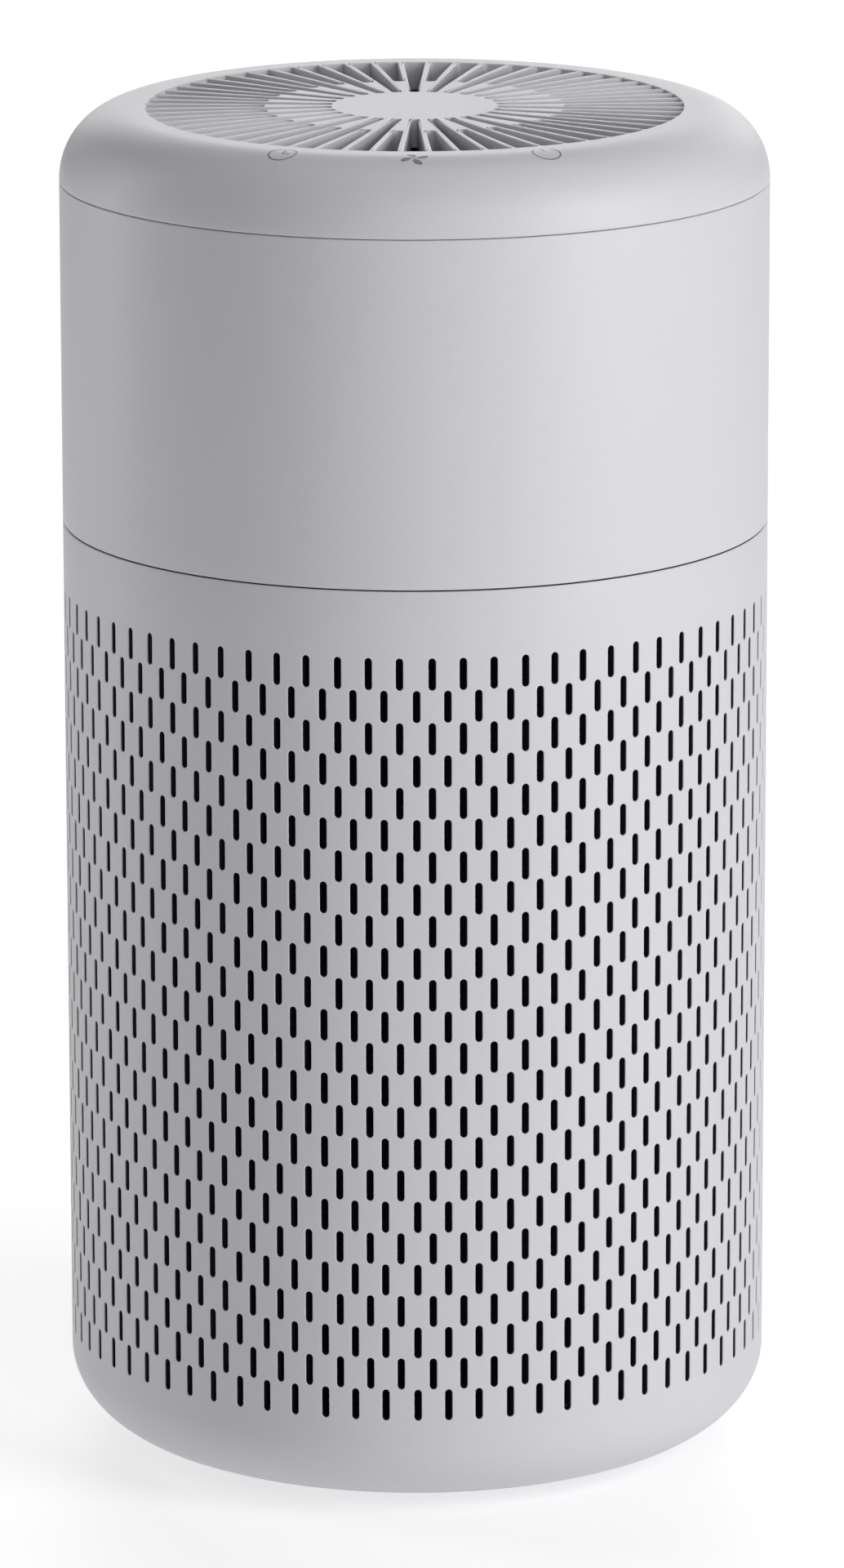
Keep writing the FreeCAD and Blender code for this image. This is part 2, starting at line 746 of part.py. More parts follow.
# ---------------------------------------------------------------- fan case
def make_fan_shroud():
    """The round fan case: flange, wall, hub cup, bearing tube and stator vanes in one moulding."""
    case = Piece("fan_shroud")
    case.revolve([
        ("shroud_radius", flange_low),
        ("flange_radius", flange_low),
        ("flange_radius", f"{flange_low} + flange_thickness"),
        ("shroud_radius + shroud_wall", f"{flange_low} + flange_thickness"),
        ("shroud_radius + shroud_wall", "shroud_top_height"),
        ("shroud_radius", "shroud_top_height"),
    ])
    hole = case.pocket_circles([polar("deck_screw_ring_radius", "0")], "screw_radius + screw_hole_gap",
                               f"{flange_low} - 1", f"{flange_low} + flange_thickness + 1")
    case.around(hole, "deck_screw_count")
    # A vane is a curved blade on edge, from inside the hub cup's wall into the case's wall.
    inner = "(hub_cup_radius - shroud_wall / 2)"
    outer = "(shroud_radius + shroud_wall / 2)"
    bow = "(shroud_radius - hub_cup_radius)"
    vane = [
        (*across(inner, "-vane_thickness / 2", "90"), f"-({bow} - vane_thickness / 2)"),
        across(outer, "-vane_thickness / 2 - vane_lean", "90"),
        (*across(outer, "vane_thickness / 2 - vane_lean", "90"), f"{bow} + vane_thickness / 2"),
        across(inner, "vane_thickness / 2", "90"),
    ]
    vane_low = "(hub_plate_height + hub_plate_thickness)"
    pad = case.pad([vane], vane_low, f"{vane_low} + vane_height")
    case.around(pad, "vane_count")
    hub = case.sketch("XZ_Plane", [[
        ("bearing_radius", "bearing_tube_low"),
        (tube_radius, "bearing_tube_low"),
        (tube_radius, "hub_plate_height"),
        ("hub_cup_radius - shroud_wall", "hub_plate_height"),
        ("hub_cup_radius - shroud_wall", "hub_skirt_height"),
        ("hub_cup_radius", "hub_skirt_height"),
        ("hub_cup_radius", "hub_top_height"),
        ("hub_cup_radius - shroud_wall", "hub_top_height"),
        ("hub_cup_radius - shroud_wall", vane_low),
        ("0", vane_low),
        ("0", "hub_plate_height"),
        ("bearing_radius", "hub_plate_height"),
    ]])
    case.add("Revolution", hub)
    # The motor cable comes in through the case's wall and drops through the hub plate.
    case.cut(case.circle("XZ_Plane", [("0", "cable_level")], "cable_hole_radius", "-(shroud_radius - 3)"),
             "3 * shroud_wall")
    case.pocket_circles([("0", "cable_drop_offset")], "cable_hole_radius", "hub_plate_height - 1", f"{vane_low} + 1")
    bosses = []
    for index in range(3):
        bosses.append(polar("driver_screw_ring_radius", f"-90 + 120 * {index}"))
    case.pad_circles(bosses, "post_radius", "driver_board_height + board_thickness", "hub_plate_height + 1")
    case.pocket_circles(bosses, "small_screw_radius + screw_hole_gap", "driver_board_height",
                        "hub_plate_height + 0.5")
    ring("outlet_seal", "shroud_radius", "shroud_radius + shroud_wall", "shroud_top_height",
         "shroud_top_height + seal_thickness")


def make_inlet():
    """The bell-mouth ring under the deck, and the finger guard clipped into it."""
    inlet = Piece("inlet_ring")
    inlet.revolve([
        ("bell_radius", inlet_low),
        ("inlet_ring_radius", inlet_low),
        ("inlet_ring_radius", "deck_height"),
        ("bell_radius + 5 * bell_wall", "deck_height", "-(4 * bell_wall)"),
        ("bell_radius + bell_wall", "deck_height + 4 * bell_wall"),
        ("bell_radius + bell_wall", "bell_height"),
        ("bell_radius", "bell_height"),
    ])
    hole = inlet.pocket_circles([polar("deck_screw_ring_radius", "0")], "screw_radius + screw_hole_gap",
                                f"{inlet_low} - 1", "deck_height + 1")
    inlet.around(hole, "deck_screw_count")

    guard = Piece("inlet_guard")
    top = f"{inlet_low} + guard_thickness"
    guard.revolve(ring_outline("bell_radius - guard_rim_width", "bell_radius", inlet_low, top))
    for index in range(1, 4):
        loop = guard.sketch("XZ_Plane", [ring_outline(f"guard_ring_pitch * {index} - guard_bar_width / 2",
                                                      f"guard_ring_pitch * {index} + guard_bar_width / 2",
                                                      inlet_low, top)])
        if index == 1:
            spoke = box_outline("0", "bell_radius - guard_rim_width / 2", "-guard_bar_width / 2",
                                "guard_bar_width / 2")
            guard.around(guard.pad([spoke], inlet_low, top), "guard_spoke_count")
        guard.add("Revolution", loop)

    screws = []
    for index in range(int(value("deck_screw_count"))):
        spot = on_circle("deck_screw_ring_radius", 360 / value("deck_screw_count") * index)
        screws.append(screw(value(inlet_low), spot, value(f"{flange_low} + flange_thickness"), True))
    plain_feature("deck_screws", Part.makeCompound(screws))


# ---------------------------------------------------------------- rotor
def make_impeller():
    """A backward-curved impeller: hub cup over the rotor, back plate, blades and eye ring."""
    impeller = Piece("impeller")
    plate_low = "(impeller_top_height - impeller_plate)"
    hub_outer = "(bell_outer_radius + impeller_hub_wall)"
    impeller.revolve([
        ("shaft_radius", "impeller_floor_height"),
        (hub_outer, "impeller_floor_height"),
        (hub_outer, plate_low),
        ("impeller_radius", plate_low),
        ("impeller_radius", "impeller_top_height"),
        ("bell_outer_radius", "impeller_top_height"),
        ("bell_outer_radius", "bell_low_height"),
        ("shaft_radius", "bell_low_height"),
    ])
    # A blade is a band along an arc that leaves the eye steeply and reaches the rim nearly sideways.
    centre = polar("blade_centre_radius", "-blade_centre_angle")
    blade = sector_outline("blade_arc_radius - blade_thickness / 2", "blade_arc_radius + blade_thickness / 2",
                           "-blade_tip_angle", "-blade_root_angle", centre)
    pad = impeller.pad([blade], "impeller_ring_height + impeller_ring_thickness / 2",
                       f"{plate_low} + impeller_plate / 2")
    impeller.around(pad, "blade_count")
    eye = impeller.sketch("XZ_Plane", [[
        ("impeller_eye_radius", "impeller_neck_height"),
        ("impeller_eye_radius + impeller_ring_thickness", "impeller_neck_height"),
        ("impeller_eye_radius + impeller_ring_thickness", "impeller_ring_height"),
        ("impeller_radius", "impeller_ring_height"),
        ("impeller_radius", "impeller_ring_height + impeller_ring_thickness"),
        ("impeller_eye_radius", "impeller_ring_height + impeller_ring_thickness"),
    ]])
    impeller.add("Revolution", eye)


def make_motor():
    """An outer-rotor motor: bell, magnets and shaft turn about the wound stator on its tube."""
    bell = Piece("rotor_bell")
    bell.revolve([
        ("shaft_radius", "bell_low_height"),
        ("bell_outer_radius", "bell_low_height"),
        ("bell_outer_radius", "bell_top_height"),
        ("bell_outer_radius - bell_steel", "bell_top_height"),
        ("bell_outer_radius - bell_steel", "bell_low_height + bell_steel"),
        ("shaft_radius", "bell_low_height + bell_steel"),
    ])
    ring("rotor_magnets", magnet_inner, "bell_outer_radius - bell_steel", "magnet_low_height",
         "magnet_low_height + magnet_height")
    ring("motor_shaft", "0", "shaft_radius", "shaft_low_height", "shaft_top_height")
    ring("shaft_clip", "shaft_radius", "clip_radius", "shaft_top_height - 1", "shaft_top_height - 1 + clip_thickness")

    bearings = []
    bore = value("shaft_radius + shaft_running_gap")
    for low in (value("bearing_tube_low + 1"), value("hub_plate_height - 3 - bearing_height")):
        outer = Part.makeCylinder(value("bearing_radius"), value("bearing_height"), FreeCAD.Vector(0, 0, low))
        inner = Part.makeCylinder(bore, value("bearing_height"), FreeCAD.Vector(0, 0, low))
        bearings.append(outer.cut(inner))
    plain_feature("motor_bearings", Part.makeCompound(bearings))

    core = Piece("stator_core")
    top = "stator_low_height + stator_height"
    core.revolve(ring_outline(tube_radius, "yoke_radius", "stator_low_height", top))
    tooth = [
        ("yoke_radius - 1", "-tooth_width / 2"),
        (f"{stator_radius} - tooth_tip_depth + 0.2", "-tooth_width / 2"),
        (f"{stator_radius} - tooth_tip_depth + 0.2", "tooth_width / 2"),
        ("yoke_radius - 1", "tooth_width / 2"),
    ]
    tip = sector_outline(f"{stator_radius} - tooth_tip_depth", stator_radius,
                         "-180 * tooth_tip_share / tooth_count", "180 * tooth_tip_share / tooth_count")
    core.around(core.pad([tooth], "stator_low_height", top), "tooth_count")
    core.around(core.pad([tip], "stator_low_height", top), "tooth_count")

    coils = []
    build = value("winding_build")
    inner = value("yoke_radius + 0.4")
    outer = value(f"{stator_radius} - tooth_tip_depth - 0.4")
    wide = value("tooth_width")
    tall = value("stator_height")
    low = value("stator_low_height")
    for index in range(int(value("tooth_count"))):
        block = Part.makeBox(outer - inner, wide + 2 * build, tall + 2 * build,
                             FreeCAD.Vector(inner, -wide / 2 - build, low - build))
        block = block.makeFillet(build * 0.9, [edge for edge in block.Edges if edge.BoundBox.XLength > build * 2])
        slot = Part.makeBox(outer - inner, wide + 0.04, tall + 0.04,
                            FreeCAD.Vector(inner, -wide / 2 - 0.02, low - 0.02))
        coil = block.cut(slot)
        # Neighbouring coils would meet near the yoke, so each keeps to its own share of the circle.
        half = math.pi / value("tooth_count") - 0.02
        reach = 2 * outer
        wedge = Part.Face(Part.makePolygon([
            FreeCAD.Vector(0, 0, low - 2 * build),
            FreeCAD.Vector(reach * math.cos(half), -reach * math.sin(half), low - 2 * build),
            FreeCAD.Vector(reach * math.cos(half), reach * math.sin(half), low - 2 * build),
            FreeCAD.Vector(0, 0, low - 2 * build),
        ])).extrude(FreeCAD.Vector(0, 0, tall + 4 * build))
        coil = coil.common(wedge)
        coil.rotate(FreeCAD.Vector(), FreeCAD.Vector(0, 0, 1), 360 / value("tooth_count") * index)
        coils.append(coil)
    plain_feature("stator_windings", Part.makeCompound(coils))

    board = Piece("driver_board")
    board.revolve(ring_outline(f"{tube_radius} + 0.3", "driver_board_radius", "driver_board_height",
                               "driver_board_height + board_thickness"))
    spots = [polar("driver_screw_ring_radius", f"-90 + 120 * {index}") for index in range(3)]
    board.pocket_circles(spots, "small_screw_radius + 2 * screw_hole_gap", "driver_board_height - 1",
                         "driver_board_height + board_thickness + 1")
    plain_feature("driver_screws", Part.makeCompound([
        small_screw(on_circle("driver_screw_ring_radius", -90 + 120 * index), value("driver_board_height"),
                    value("hub_plate_height"))
        for index in range(3)
    ]))


def small_screw(spot, head, tip):
    """A small self-tapping screw whose head bears upward on a board at the height head."""
    radius = value("small_screw_radius")
    place = FreeCAD.Vector(spot[0], spot[1], head)
    up = FreeCAD.Vector(0, 0, 1)
    shank = Part.makeCylinder(radius, tip - head, place, up)
    cap = Part.makeCylinder(2 * radius, 1.2, place, up * -1)
    return cap.fuse(shank).removeSplitter()


# ---------------------------------------------------------------- controls and power
def make_controls(cover):
    """The curved touch board under the cover's front, with one contact pad under each key."""
    # Each pad's top follows the cover's underside, a small gap below it.
    lowered = cover.Shape.copy()
    lowered.translate(FreeCAD.Vector(0, 0, -value("touch_pad_gap")))
    spots = []
    for step in (-3, -1, 1, 3):
        spots.append(polar("touch_ring_radius", f"-90 + {step} * post_angle"))
    board = Piece("control_board")
    board.pad([sector_outline("control_board_inner", "control_board_outer", "-90 - control_board_half_angle",
                              "-90 + control_board_half_angle")], "control_board_height", board_top)
    board.pocket_circles(spots, "small_screw_radius + 2 * screw_hole_gap", "control_board_height - 1",
                         f"{board_top} + 1")
    for name, angle in (("timer", -value("touch_angle")), ("speed", 0), ("power", value("touch_angle"))):
        pad = Piece(f"pad_blank_{name}", kept=False)
        pad.pad_circles([polar("touch_ring_radius", f"-90 + {angle}")], "touch_pad_radius", board_top, cover_under)
        plain_feature(f"touch_pad_{name}", pad.body.Shape.cut(lowered))
    plain_feature("control_board_screws", Part.makeCompound([
        small_screw((value(x), value(y)), value("control_board_height"), value(f"{board_top} + 3.5"))
        for x, y in spots
    ]))


def make_power():
    """The low-voltage socket in the rear wall, and the upright board behind it."""
    back = "(power_board_front + board_thickness)"
    face = "(outer_radius - socket_setback)"
    socket = Piece("power_socket")
    half = "socket_width / 2"
    tall = "socket_tall / 2"
    body = socket.sketch("XZ_Plane", [box_outline(f"-{half}", half, f"inlet_socket_height - {tall}",
                                                  f"inlet_socket_height + {tall}")], f"-{face}")
    socket.add("Pad", body, f"{face} - {back}")
    socket.cut(socket.circle("XZ_Plane", [("0", "inlet_socket_height")], "socket_bore_radius",
                             f"-({face} - socket_bore_depth)"), "socket_bore_depth + 1")
    pin = socket.circle("XZ_Plane", [("0", "inlet_socket_height")], "socket_pin_radius", f"-({face} - 1)")
    socket.add("Pad", pin, "socket_bore_depth")

    board = Piece("power_board")
    board_low = f"({flange_low} + flange_thickness)"
    board.pad([box_outline("-power_board_width / 2", "power_board_width / 2", "power_board_front", back)],
              board_low, f"{board_low} + power_board_height")
    caps = []
    for side in (-1, 1):
        centre = FreeCAD.Vector(side * value("capacitor_spread"), value(f"{back} + capacitor_radius"),
                                value(f"{board_low} + capacitor_lift"))
        can = Part.makeCylinder(value("capacitor_radius"), value("capacitor_height"), centre)
        caps.append(can.makeFillet(0.6, [edge for edge in can.Edges if edge.BoundBox.ZLength < 0.1]))
    plain_feature("power_capacitors", Part.makeCompound(caps))

    top = value(f"{board_low} + power_board_height")
    middle = value("power_board_front + board_thickness / 2")
    level = value("cable_level")
    drop = value("cable_drop_offset")
    bend = value("cable_bend_radius")
    cable("motor_cable", [
        FreeCAD.Vector(0, middle, top),
        FreeCAD.Vector(0, middle, level),
        FreeCAD.Vector(0, drop, level),
        FreeCAD.Vector(0, drop, value("driver_board_height + board_thickness")),
    ], [bend, bend])
    # The control cable runs round the housing at one level, then rises to the touch board.
    side = value("control_cable_offset")
    radius = math.hypot(side, middle)
    start = math.degrees(math.acos(side / radius))
    finish = -90 + value("control_board_half_angle") - 4
    steps = int(value("control_cable_bends"))
    run = level - value("control_cable_drop")
    points = [FreeCAD.Vector(side, middle, top)]
    for index in range(steps + 1):
        angle = math.radians(start + (finish - start) * index / steps)
        points.append(FreeCAD.Vector(radius * math.cos(angle), radius * math.sin(angle), run))
    angle = math.radians(finish)
    points.append(FreeCAD.Vector(radius * math.cos(angle), radius * math.sin(angle), value("control_board_height")))
    turns = [bend] + [radius * 0.9] * (steps - 1) + [bend]
    cable("control_cable", points, turns)


# ---------------------------------------------------------------- filter
def make_filter():
    """The cartridge: pleated media between two caps, a carbon sleeve inside and a mesh outside."""
    ring("filter_bottom_cap", "0", "filter_radius", "filter_bottom_height", media_low)
    ring("filter_top_cap", "gasket_inner_radius - 4", "filter_radius", top_cap_low, gasket_low)
    ring("filter_gasket", "gasket_inner_radius", "gasket_outer_radius", gasket_low, inlet_low)
    ring("prefilter_mesh", "mesh_radius - mesh_thickness", "mesh_radius", media_low, top_cap_low)
    ring("carbon_layer", "carbon_outer_radius - carbon_thickness", "carbon_outer_radius", media_low, top_cap_low)

    count = int(value("pleat_count"))
    outer = value("pleat_outer_radius")
    inner = value("pleat_inner_radius")
    # A band of constant angle is as thick as the fold is at the middle of a pleat.
    half = math.radians(180 / count)
    slope = (outer - inner) / (outer * half)
    share = value("pleat_thickness") * slope / (outer + inner)
    points = []
    for side in (1, -1):
        fold = []
        for index in range(2 * count):
            radius = outer if index % 2 else inner
            shift = side * value("pleat_thickness") * 0.9
            reach = radius + (shift - abs(shift) if index % 2 else shift + abs(shift))
            fold.append(FreeCAD.Vector(reach * math.cos(half * index), reach * math.sin(half * index), 0))
        points.append(fold)
    faces = []
    for fold in points:
        faces.append(Part.Face(Part.makePolygon(fold + [fold[0]])))
    sheet_face = faces[0].cut(faces[1])
    low = value(media_low)
    sheet_face.translate(FreeCAD.Vector(0, 0, low))
    plain_feature("filter_media", sheet_face.extrude(FreeCAD.Vector(0, 0, value(top_cap_low) - low)))

    tab = Piece("filter_pull_tab")
    tab.pad([box_outline("-tab_length / 2", "tab_length / 2", "-tab_width / 2", "tab_width / 2")],
            "filter_bottom_height - tab_thickness", "filter_bottom_height")


# ---------------------------------------------------------------- base door
def make_base_door():
    """The twist-off door under the body, with bayonet lugs, a grip bar and rubber pads."""
    tight, wide = oval("base_corner_depth", "base_corner_rise")
    corner = "(outer_radius - base_corner_depth)"
    edge_height = f"(foot_height + {wide} - sqrt({wide}^2 - (door_radius - {corner})^2))"
    floor_top = "(foot_height + wall)"
    rim_top = "(ledge_low_height - door_gap)"
    door = Piece("base_door")
    door.revolve([
        ("0", "foot_height"),
        (corner, "foot_height", wide),
        ("door_radius", edge_height),
        ("door_radius", rim_top),
        ("door_radius - door_rim_wall", rim_top),
        ("door_radius - door_rim_wall", f"{floor_top} + 1"),
        ("door_collar_radius", f"{floor_top} + 1"),
        ("door_collar_radius", "door_collar_top"),
        ("door_collar_radius - door_collar_wall", "door_collar_top"),
        ("door_collar_radius - door_collar_wall", floor_top),
        ("0", floor_top),
    ])
    lug = sector_outline("door_collar_radius - 1", "door_collar_radius + lug_reach", "-90 - lug_half_angle",
                         "-90 + lug_half_angle")
    door.around(door.pad([lug], lug_low, "door_collar_top"), "lug_count")
    # Two wells leave a bar between them to turn the door by.
    half = "grip_length / 2"
    reach = "grip_bar_width / 2 + grip_well_width"
    door.pad([box_outline(f"-({half} + grip_wall)", f"{half} + grip_wall", f"-({reach} + grip_wall)",
                          f"{reach} + grip_wall")], f"{floor_top} - 1", "foot_height + grip_depth + grip_wall")
    wells = [box_outline(f"-{half}", half, "grip_bar_width / 2", reach),
             box_outline(f"-{half}", half, f"-({reach})", "-grip_bar_width / 2")]
    door.pocket(wells, "foot_height - 1", "foot_height + grip_depth")
    pads = [polar("pad_ring_radius", f"45 + 90 * {index}") for index in range(int(value("pad_count")))]
    door.pocket_circles(pads, "pad_radius", "foot_height - 1", "foot_height + pad_recess")
    feet = []
    for across_x, along_y in pads:
        place = FreeCAD.Vector(value(across_x), value(along_y), 0)
        foot = Part.makeCylinder(value("pad_radius"), value("foot_height + pad_recess"), place)
        feet.append(foot.makeFillet(0.8, [edge for edge in foot.Edges if edge.BoundBox.ZMax < 0.1]))
    plain_feature("door_pads", Part.makeCompound(feet))


# ---------------------------------------------------------------- build and write
make_lower_shell()
make_upper_housing()
top_cover = make_top_cover()
make_fan_shroud()
make_inlet()
make_impeller()
make_motor()
make_controls(top_cover)
make_power()
make_filter()
make_base_door()
doc.recompute()

for item in doc.Objects:
    if "Invalid" in item.State or "Error" in item.State:
        raise RuntimeError(f"{item.Label} failed: {item.State}")
for item in subparts:
    if item.Shape.isNull() or not item.Shape.isValid():
        raise RuntimeError(f"{item.Label} has no valid shape")
os.makedirs("parts", exist_ok=True)
for item in subparts:
    item.Shape.exportStep(f"parts/{item.Label}.step")
    print(f"{item.Label}: {len(item.Shape.Solids)} solids, {item.Shape.Volume / 1000:.1f} cm3")
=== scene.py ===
import math
import bpy
import numpy as np
from bpy.props import FloatProperty, FloatVectorProperty, PointerProperty
from mathutils import Matrix, Vector


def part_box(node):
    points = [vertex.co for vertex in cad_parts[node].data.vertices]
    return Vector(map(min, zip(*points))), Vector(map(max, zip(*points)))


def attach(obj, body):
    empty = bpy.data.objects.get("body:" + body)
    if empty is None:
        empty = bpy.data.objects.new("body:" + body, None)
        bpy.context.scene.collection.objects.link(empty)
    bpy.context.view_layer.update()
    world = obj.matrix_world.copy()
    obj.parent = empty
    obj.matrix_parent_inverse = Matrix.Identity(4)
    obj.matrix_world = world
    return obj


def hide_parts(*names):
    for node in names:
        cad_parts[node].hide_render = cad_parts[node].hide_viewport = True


bl_info = {
    "name": "Tower air purifier",
    "version": (1, 0, 0),
    "blender": (4, 5, 0),
    "location": "3D View > Sidebar > Purifier",
    "description": "Builds the outer skins, finishes and studio of a round tower air purifier",
    "category": "Object",
}

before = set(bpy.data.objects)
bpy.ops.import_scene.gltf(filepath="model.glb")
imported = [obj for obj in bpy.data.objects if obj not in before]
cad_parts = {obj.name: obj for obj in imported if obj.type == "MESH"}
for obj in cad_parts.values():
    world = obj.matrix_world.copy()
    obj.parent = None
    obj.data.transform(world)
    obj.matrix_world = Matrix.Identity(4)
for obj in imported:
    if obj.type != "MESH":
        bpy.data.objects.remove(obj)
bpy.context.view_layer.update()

MM = 0.001
SLEEVE_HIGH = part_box("lower_shell")[1]
HOUSING_LOW, HOUSING_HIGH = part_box("upper_housing")
COVER_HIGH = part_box("top_cover")[1]
DOOR_LOW, DOOR_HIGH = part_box("base_door")
SEAL_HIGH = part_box("outlet_seal")[1]
SOCKET_LOW, SOCKET_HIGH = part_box("power_socket")
RADIUS = SLEEVE_HIGH.x
TOP = COVER_HIGH.z
FRONT = -math.pi / 2


def length(name, description, default):
    return FloatProperty(name=name, description=description, default=default, unit="LENGTH", precision=5)


def angle(name, description, default):
    turn = math.radians(default)
    return FloatProperty(name=name, description=description, default=turn, unit="ROTATION")


def colour(name, description, default):
    return FloatVectorProperty(name=name, description=description, default=default, size=3,
                               subtype="COLOR", min=0, max=1)


class PurifierSizes(bpy.types.PropertyGroup):
    """Sizes of the outer skins that a user may change; the rest comes from the frame."""

    wall: length("Wall", "Thickness of the moulded walls", 3 * MM)
    seam_gap: length("Seam gap", "Open gap at each seam of the body", 0.3 * MM)
    cover_gap: length("Cover gap", "Open gap at the seam under the cover", 0.16 * MM)
    edge: length("Edge radius", "Rounding of the moulded edges beside a seam", 0.45 * MM)
    slot_width: length("Slot width", "Width of a sleeve slot", 2.04 * MM)
    slot_length: length("Slot length", "Length of a sleeve slot", 9.05 * MM)
    slot_edge: length("Slot edge", "Rounding of a slot's rim", 0.2 * MM)
    # Painted shade: how deep in a slot its walls begin to be painted black, for the shade in the slots.
    coat_depth: length("Coat depth", "How deep in a slot the black inner coat begins", 0.3 * MM)
    row_pitch: length("Row pitch", "Height from one row of slots to the next", 9.106 * MM)
    column_pitch: length("Column pitch", "Distance from one column of slots to the next", 4.28 * MM)
    lowest_row: length("Lowest row", "Height of the lowest row's middle", 35.7 * MM)
    shoulder_depth: length("Shoulder depth", "How far the cover's shoulder reaches in from the side", 19 * MM)
    corner_depth: length("Base corner depth", "How far the base corner reaches in from the side", 28 * MM)
    corner_rise: length("Base corner rise", "How far the base corner reaches up from the underside", 23 * MM)
    grille_radius: length("Grille radius", "Outer end of the grille's slots", 75.7 * MM)
    hub_radius: length("Hub radius", "Inner end of the grille's long slots", 23.4 * MM)
    short_start: length("Short slot start", "Inner end of the grille's short slots", 42 * MM)
    rib_depth: length("Rib depth", "Height of the grille's ribs", 8 * MM)
    rib_edge: length("Rib edge", "Rounding of the ribs' top edges", 0.35 * MM)
    long_half: angle("Long slot half angle", "Half the angle that a long slot spans", 2.33)
    mark_radius: length("Mark radius", "Half the size of a touch mark", 4.1 * MM)
    mark_line: length("Mark line", "Line width of the touch marks", 0.5 * MM)
    mark_ring: length("Mark circle", "Distance of the touch marks from the axis", 84.5 * MM)
    mark_angle: angle("Mark angle", "Angle from the middle mark to its neighbours", 25.2)


class PurifierFinish(bpy.types.PropertyGroup):
    """Colours of the finishes."""

    shell: colour("Shell", "Matte grey of the body mouldings", (0.512, 0.510, 0.538))
    mark: colour("Marks", "Grey of the touch marks", (0.16, 0.16, 0.165))
    # This black is also the painted shade on the sleeve's slot walls and inner face.
    inner: colour("Inner mouldings", "Black of the fan case and guard", (0.012, 0.012, 0.013))
    impeller: colour("Impeller", "Dark grey of the fan wheel", (0.03, 0.03, 0.033))
    mesh: colour("Prefilter mesh", "Black of the filter's outer mesh", (0.012, 0.012, 0.013))
    paper: colour("Filter paper", "Off-white of the pleated media", (0.78, 0.77, 0.73))
    rubber: colour("Pads", "Grey of the rubber pads", (0.10, 0.10, 0.10))
    floor: colour("Floor", "Pale grey of the studio floor", (0.5, 0.5, 0.505))


# ---------------------------------------------------------------- surfaces
class Skin:
    """Collects grids of points as quads, welds what meets, and makes one closed mesh of them."""

    WELD = 2e-6

    def __init__(self):
        self.points = []
        self.quads = []
        self.count = 0

    def grid(self, points, flip=False):
        """A (rows, columns, 3) grid of points. A quad runs along the columns first, then up the rows."""
        rows, columns = points.shape[:2]
        index = np.arange(rows * columns).reshape(rows, columns) + self.count
        corners = [index[:-1, :-1], index[:-1, 1:], index[1:, 1:], index[1:, :-1]]
        quads = np.stack(corners, axis=-1).reshape(-1, 4)
        self.store(points, quads[:, ::-1] if flip else quads)

    def rings(self, points):
        """A (..., rings, around, 3) stack of closed loops, each joined to the next one inward."""
        shape = points.shape[:-1]
        index = np.arange(np.prod(shape)).reshape(shape) + self.count
        ahead = np.roll(index, -1, axis=-1)
        corners = [index[..., :-1, :], ahead[..., :-1, :], ahead[..., 1:, :], index[..., 1:, :]]
        self.store(points, np.stack(corners, axis=-1).reshape(-1, 4))

    def store(self, points, quads):
        self.points.append(points.reshape(-1, 3))
        self.quads.append(quads)
        self.count += self.points[-1].shape[0]

    def mesh(self, name, sharp=32):
        """Welds points that agree to the weld distance, drops collapsed edges, and fills the mesh."""
        points = np.concatenate(self.points)
        quads = np.concatenate(self.quads)
        keys = np.round(points / self.WELD).astype(np.int64)
        _, first, lookup = np.unique(keys, axis=0, return_index=True, return_inverse=True)
        points = points[first]
        quads = lookup.reshape(-1)[quads]
        live = quads != np.roll(quads, -1, axis=1)
        sides = live.sum(axis=1)
        kept = sides > 2
        quads, live, sides = quads[kept], live[kept], sides[kept]
        corners = quads[live]
        mesh = bpy.data.meshes.new(name)
        mesh.vertices.add(len(points))
        mesh.vertices.foreach_set("co", points.astype(np.float32).ravel())
        mesh.loops.add(len(corners))
        mesh.loops.foreach_set("vertex_index", corners.astype(np.int32))
        mesh.polygons.add(len(sides))
        starts = np.concatenate([[0], np.cumsum(sides)[:-1]])
        mesh.polygons.foreach_set("loop_start", starts.astype(np.int32))
        mesh.update(calc_edges=True)
        mesh.validate()
        mesh.shade_smooth()
        mesh.set_sharp_from_angle(angle=math.radians(sharp))
        return mesh


def place(name, mesh, material, body, slot, *nodes):
    """Makes the mesh a piece that rides on a body and stands for CAD nodes."""
    piece = bpy.data.objects.new(name, mesh)
    bpy.context.scene.collection.objects.link(piece)
    mesh.materials.append(material)
    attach(piece, body)
    if nodes:
        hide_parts(*nodes)
    return piece


def quarter_oval(corner, depth, rise, inset, steps, low):
    """A quarter of an oval with its middle at corner, from the side to the end of a body: r is
    cos and z is sin of an angle, each times its half axis less the inset."""
    turn = np.radians(np.linspace(0, 90, steps))
    sign = -1 if low else 1
    reach = corner[0] + (depth - inset) * np.cos(turn)
    height = corner[1] + sign * (rise - inset) * np.sin(turn)
    return np.stack([reach, height], axis=-1)


def upright(radius, levels):
    """A profile that stands straight up at one radius."""
    return np.stack([np.full(len(levels), radius), levels], axis=-1)


def flat(radii, level):
    """A profile that lies at one height."""
    return np.stack([radii, np.full(len(radii), level)], axis=-1)


def wrapped(radius, turns, heights):
    """Points on a cylinder at these angles and heights."""
    return np.stack([radius * np.cos(turns), radius * np.sin(turns), heights], axis=-1)


def lathe(profile, angles):
    """Each (r, z) point of the profile turned to each angle: x = r cos, y = r sin."""
    spread = np.empty((len(profile), len(angles), 3))
    spread[..., 0] = profile[:, None, 0] * np.cos(angles)
    spread[..., 1] = profile[:, None, 0] * np.sin(angles)
    spread[..., 2] = profile[:, None, 1]
    return spread


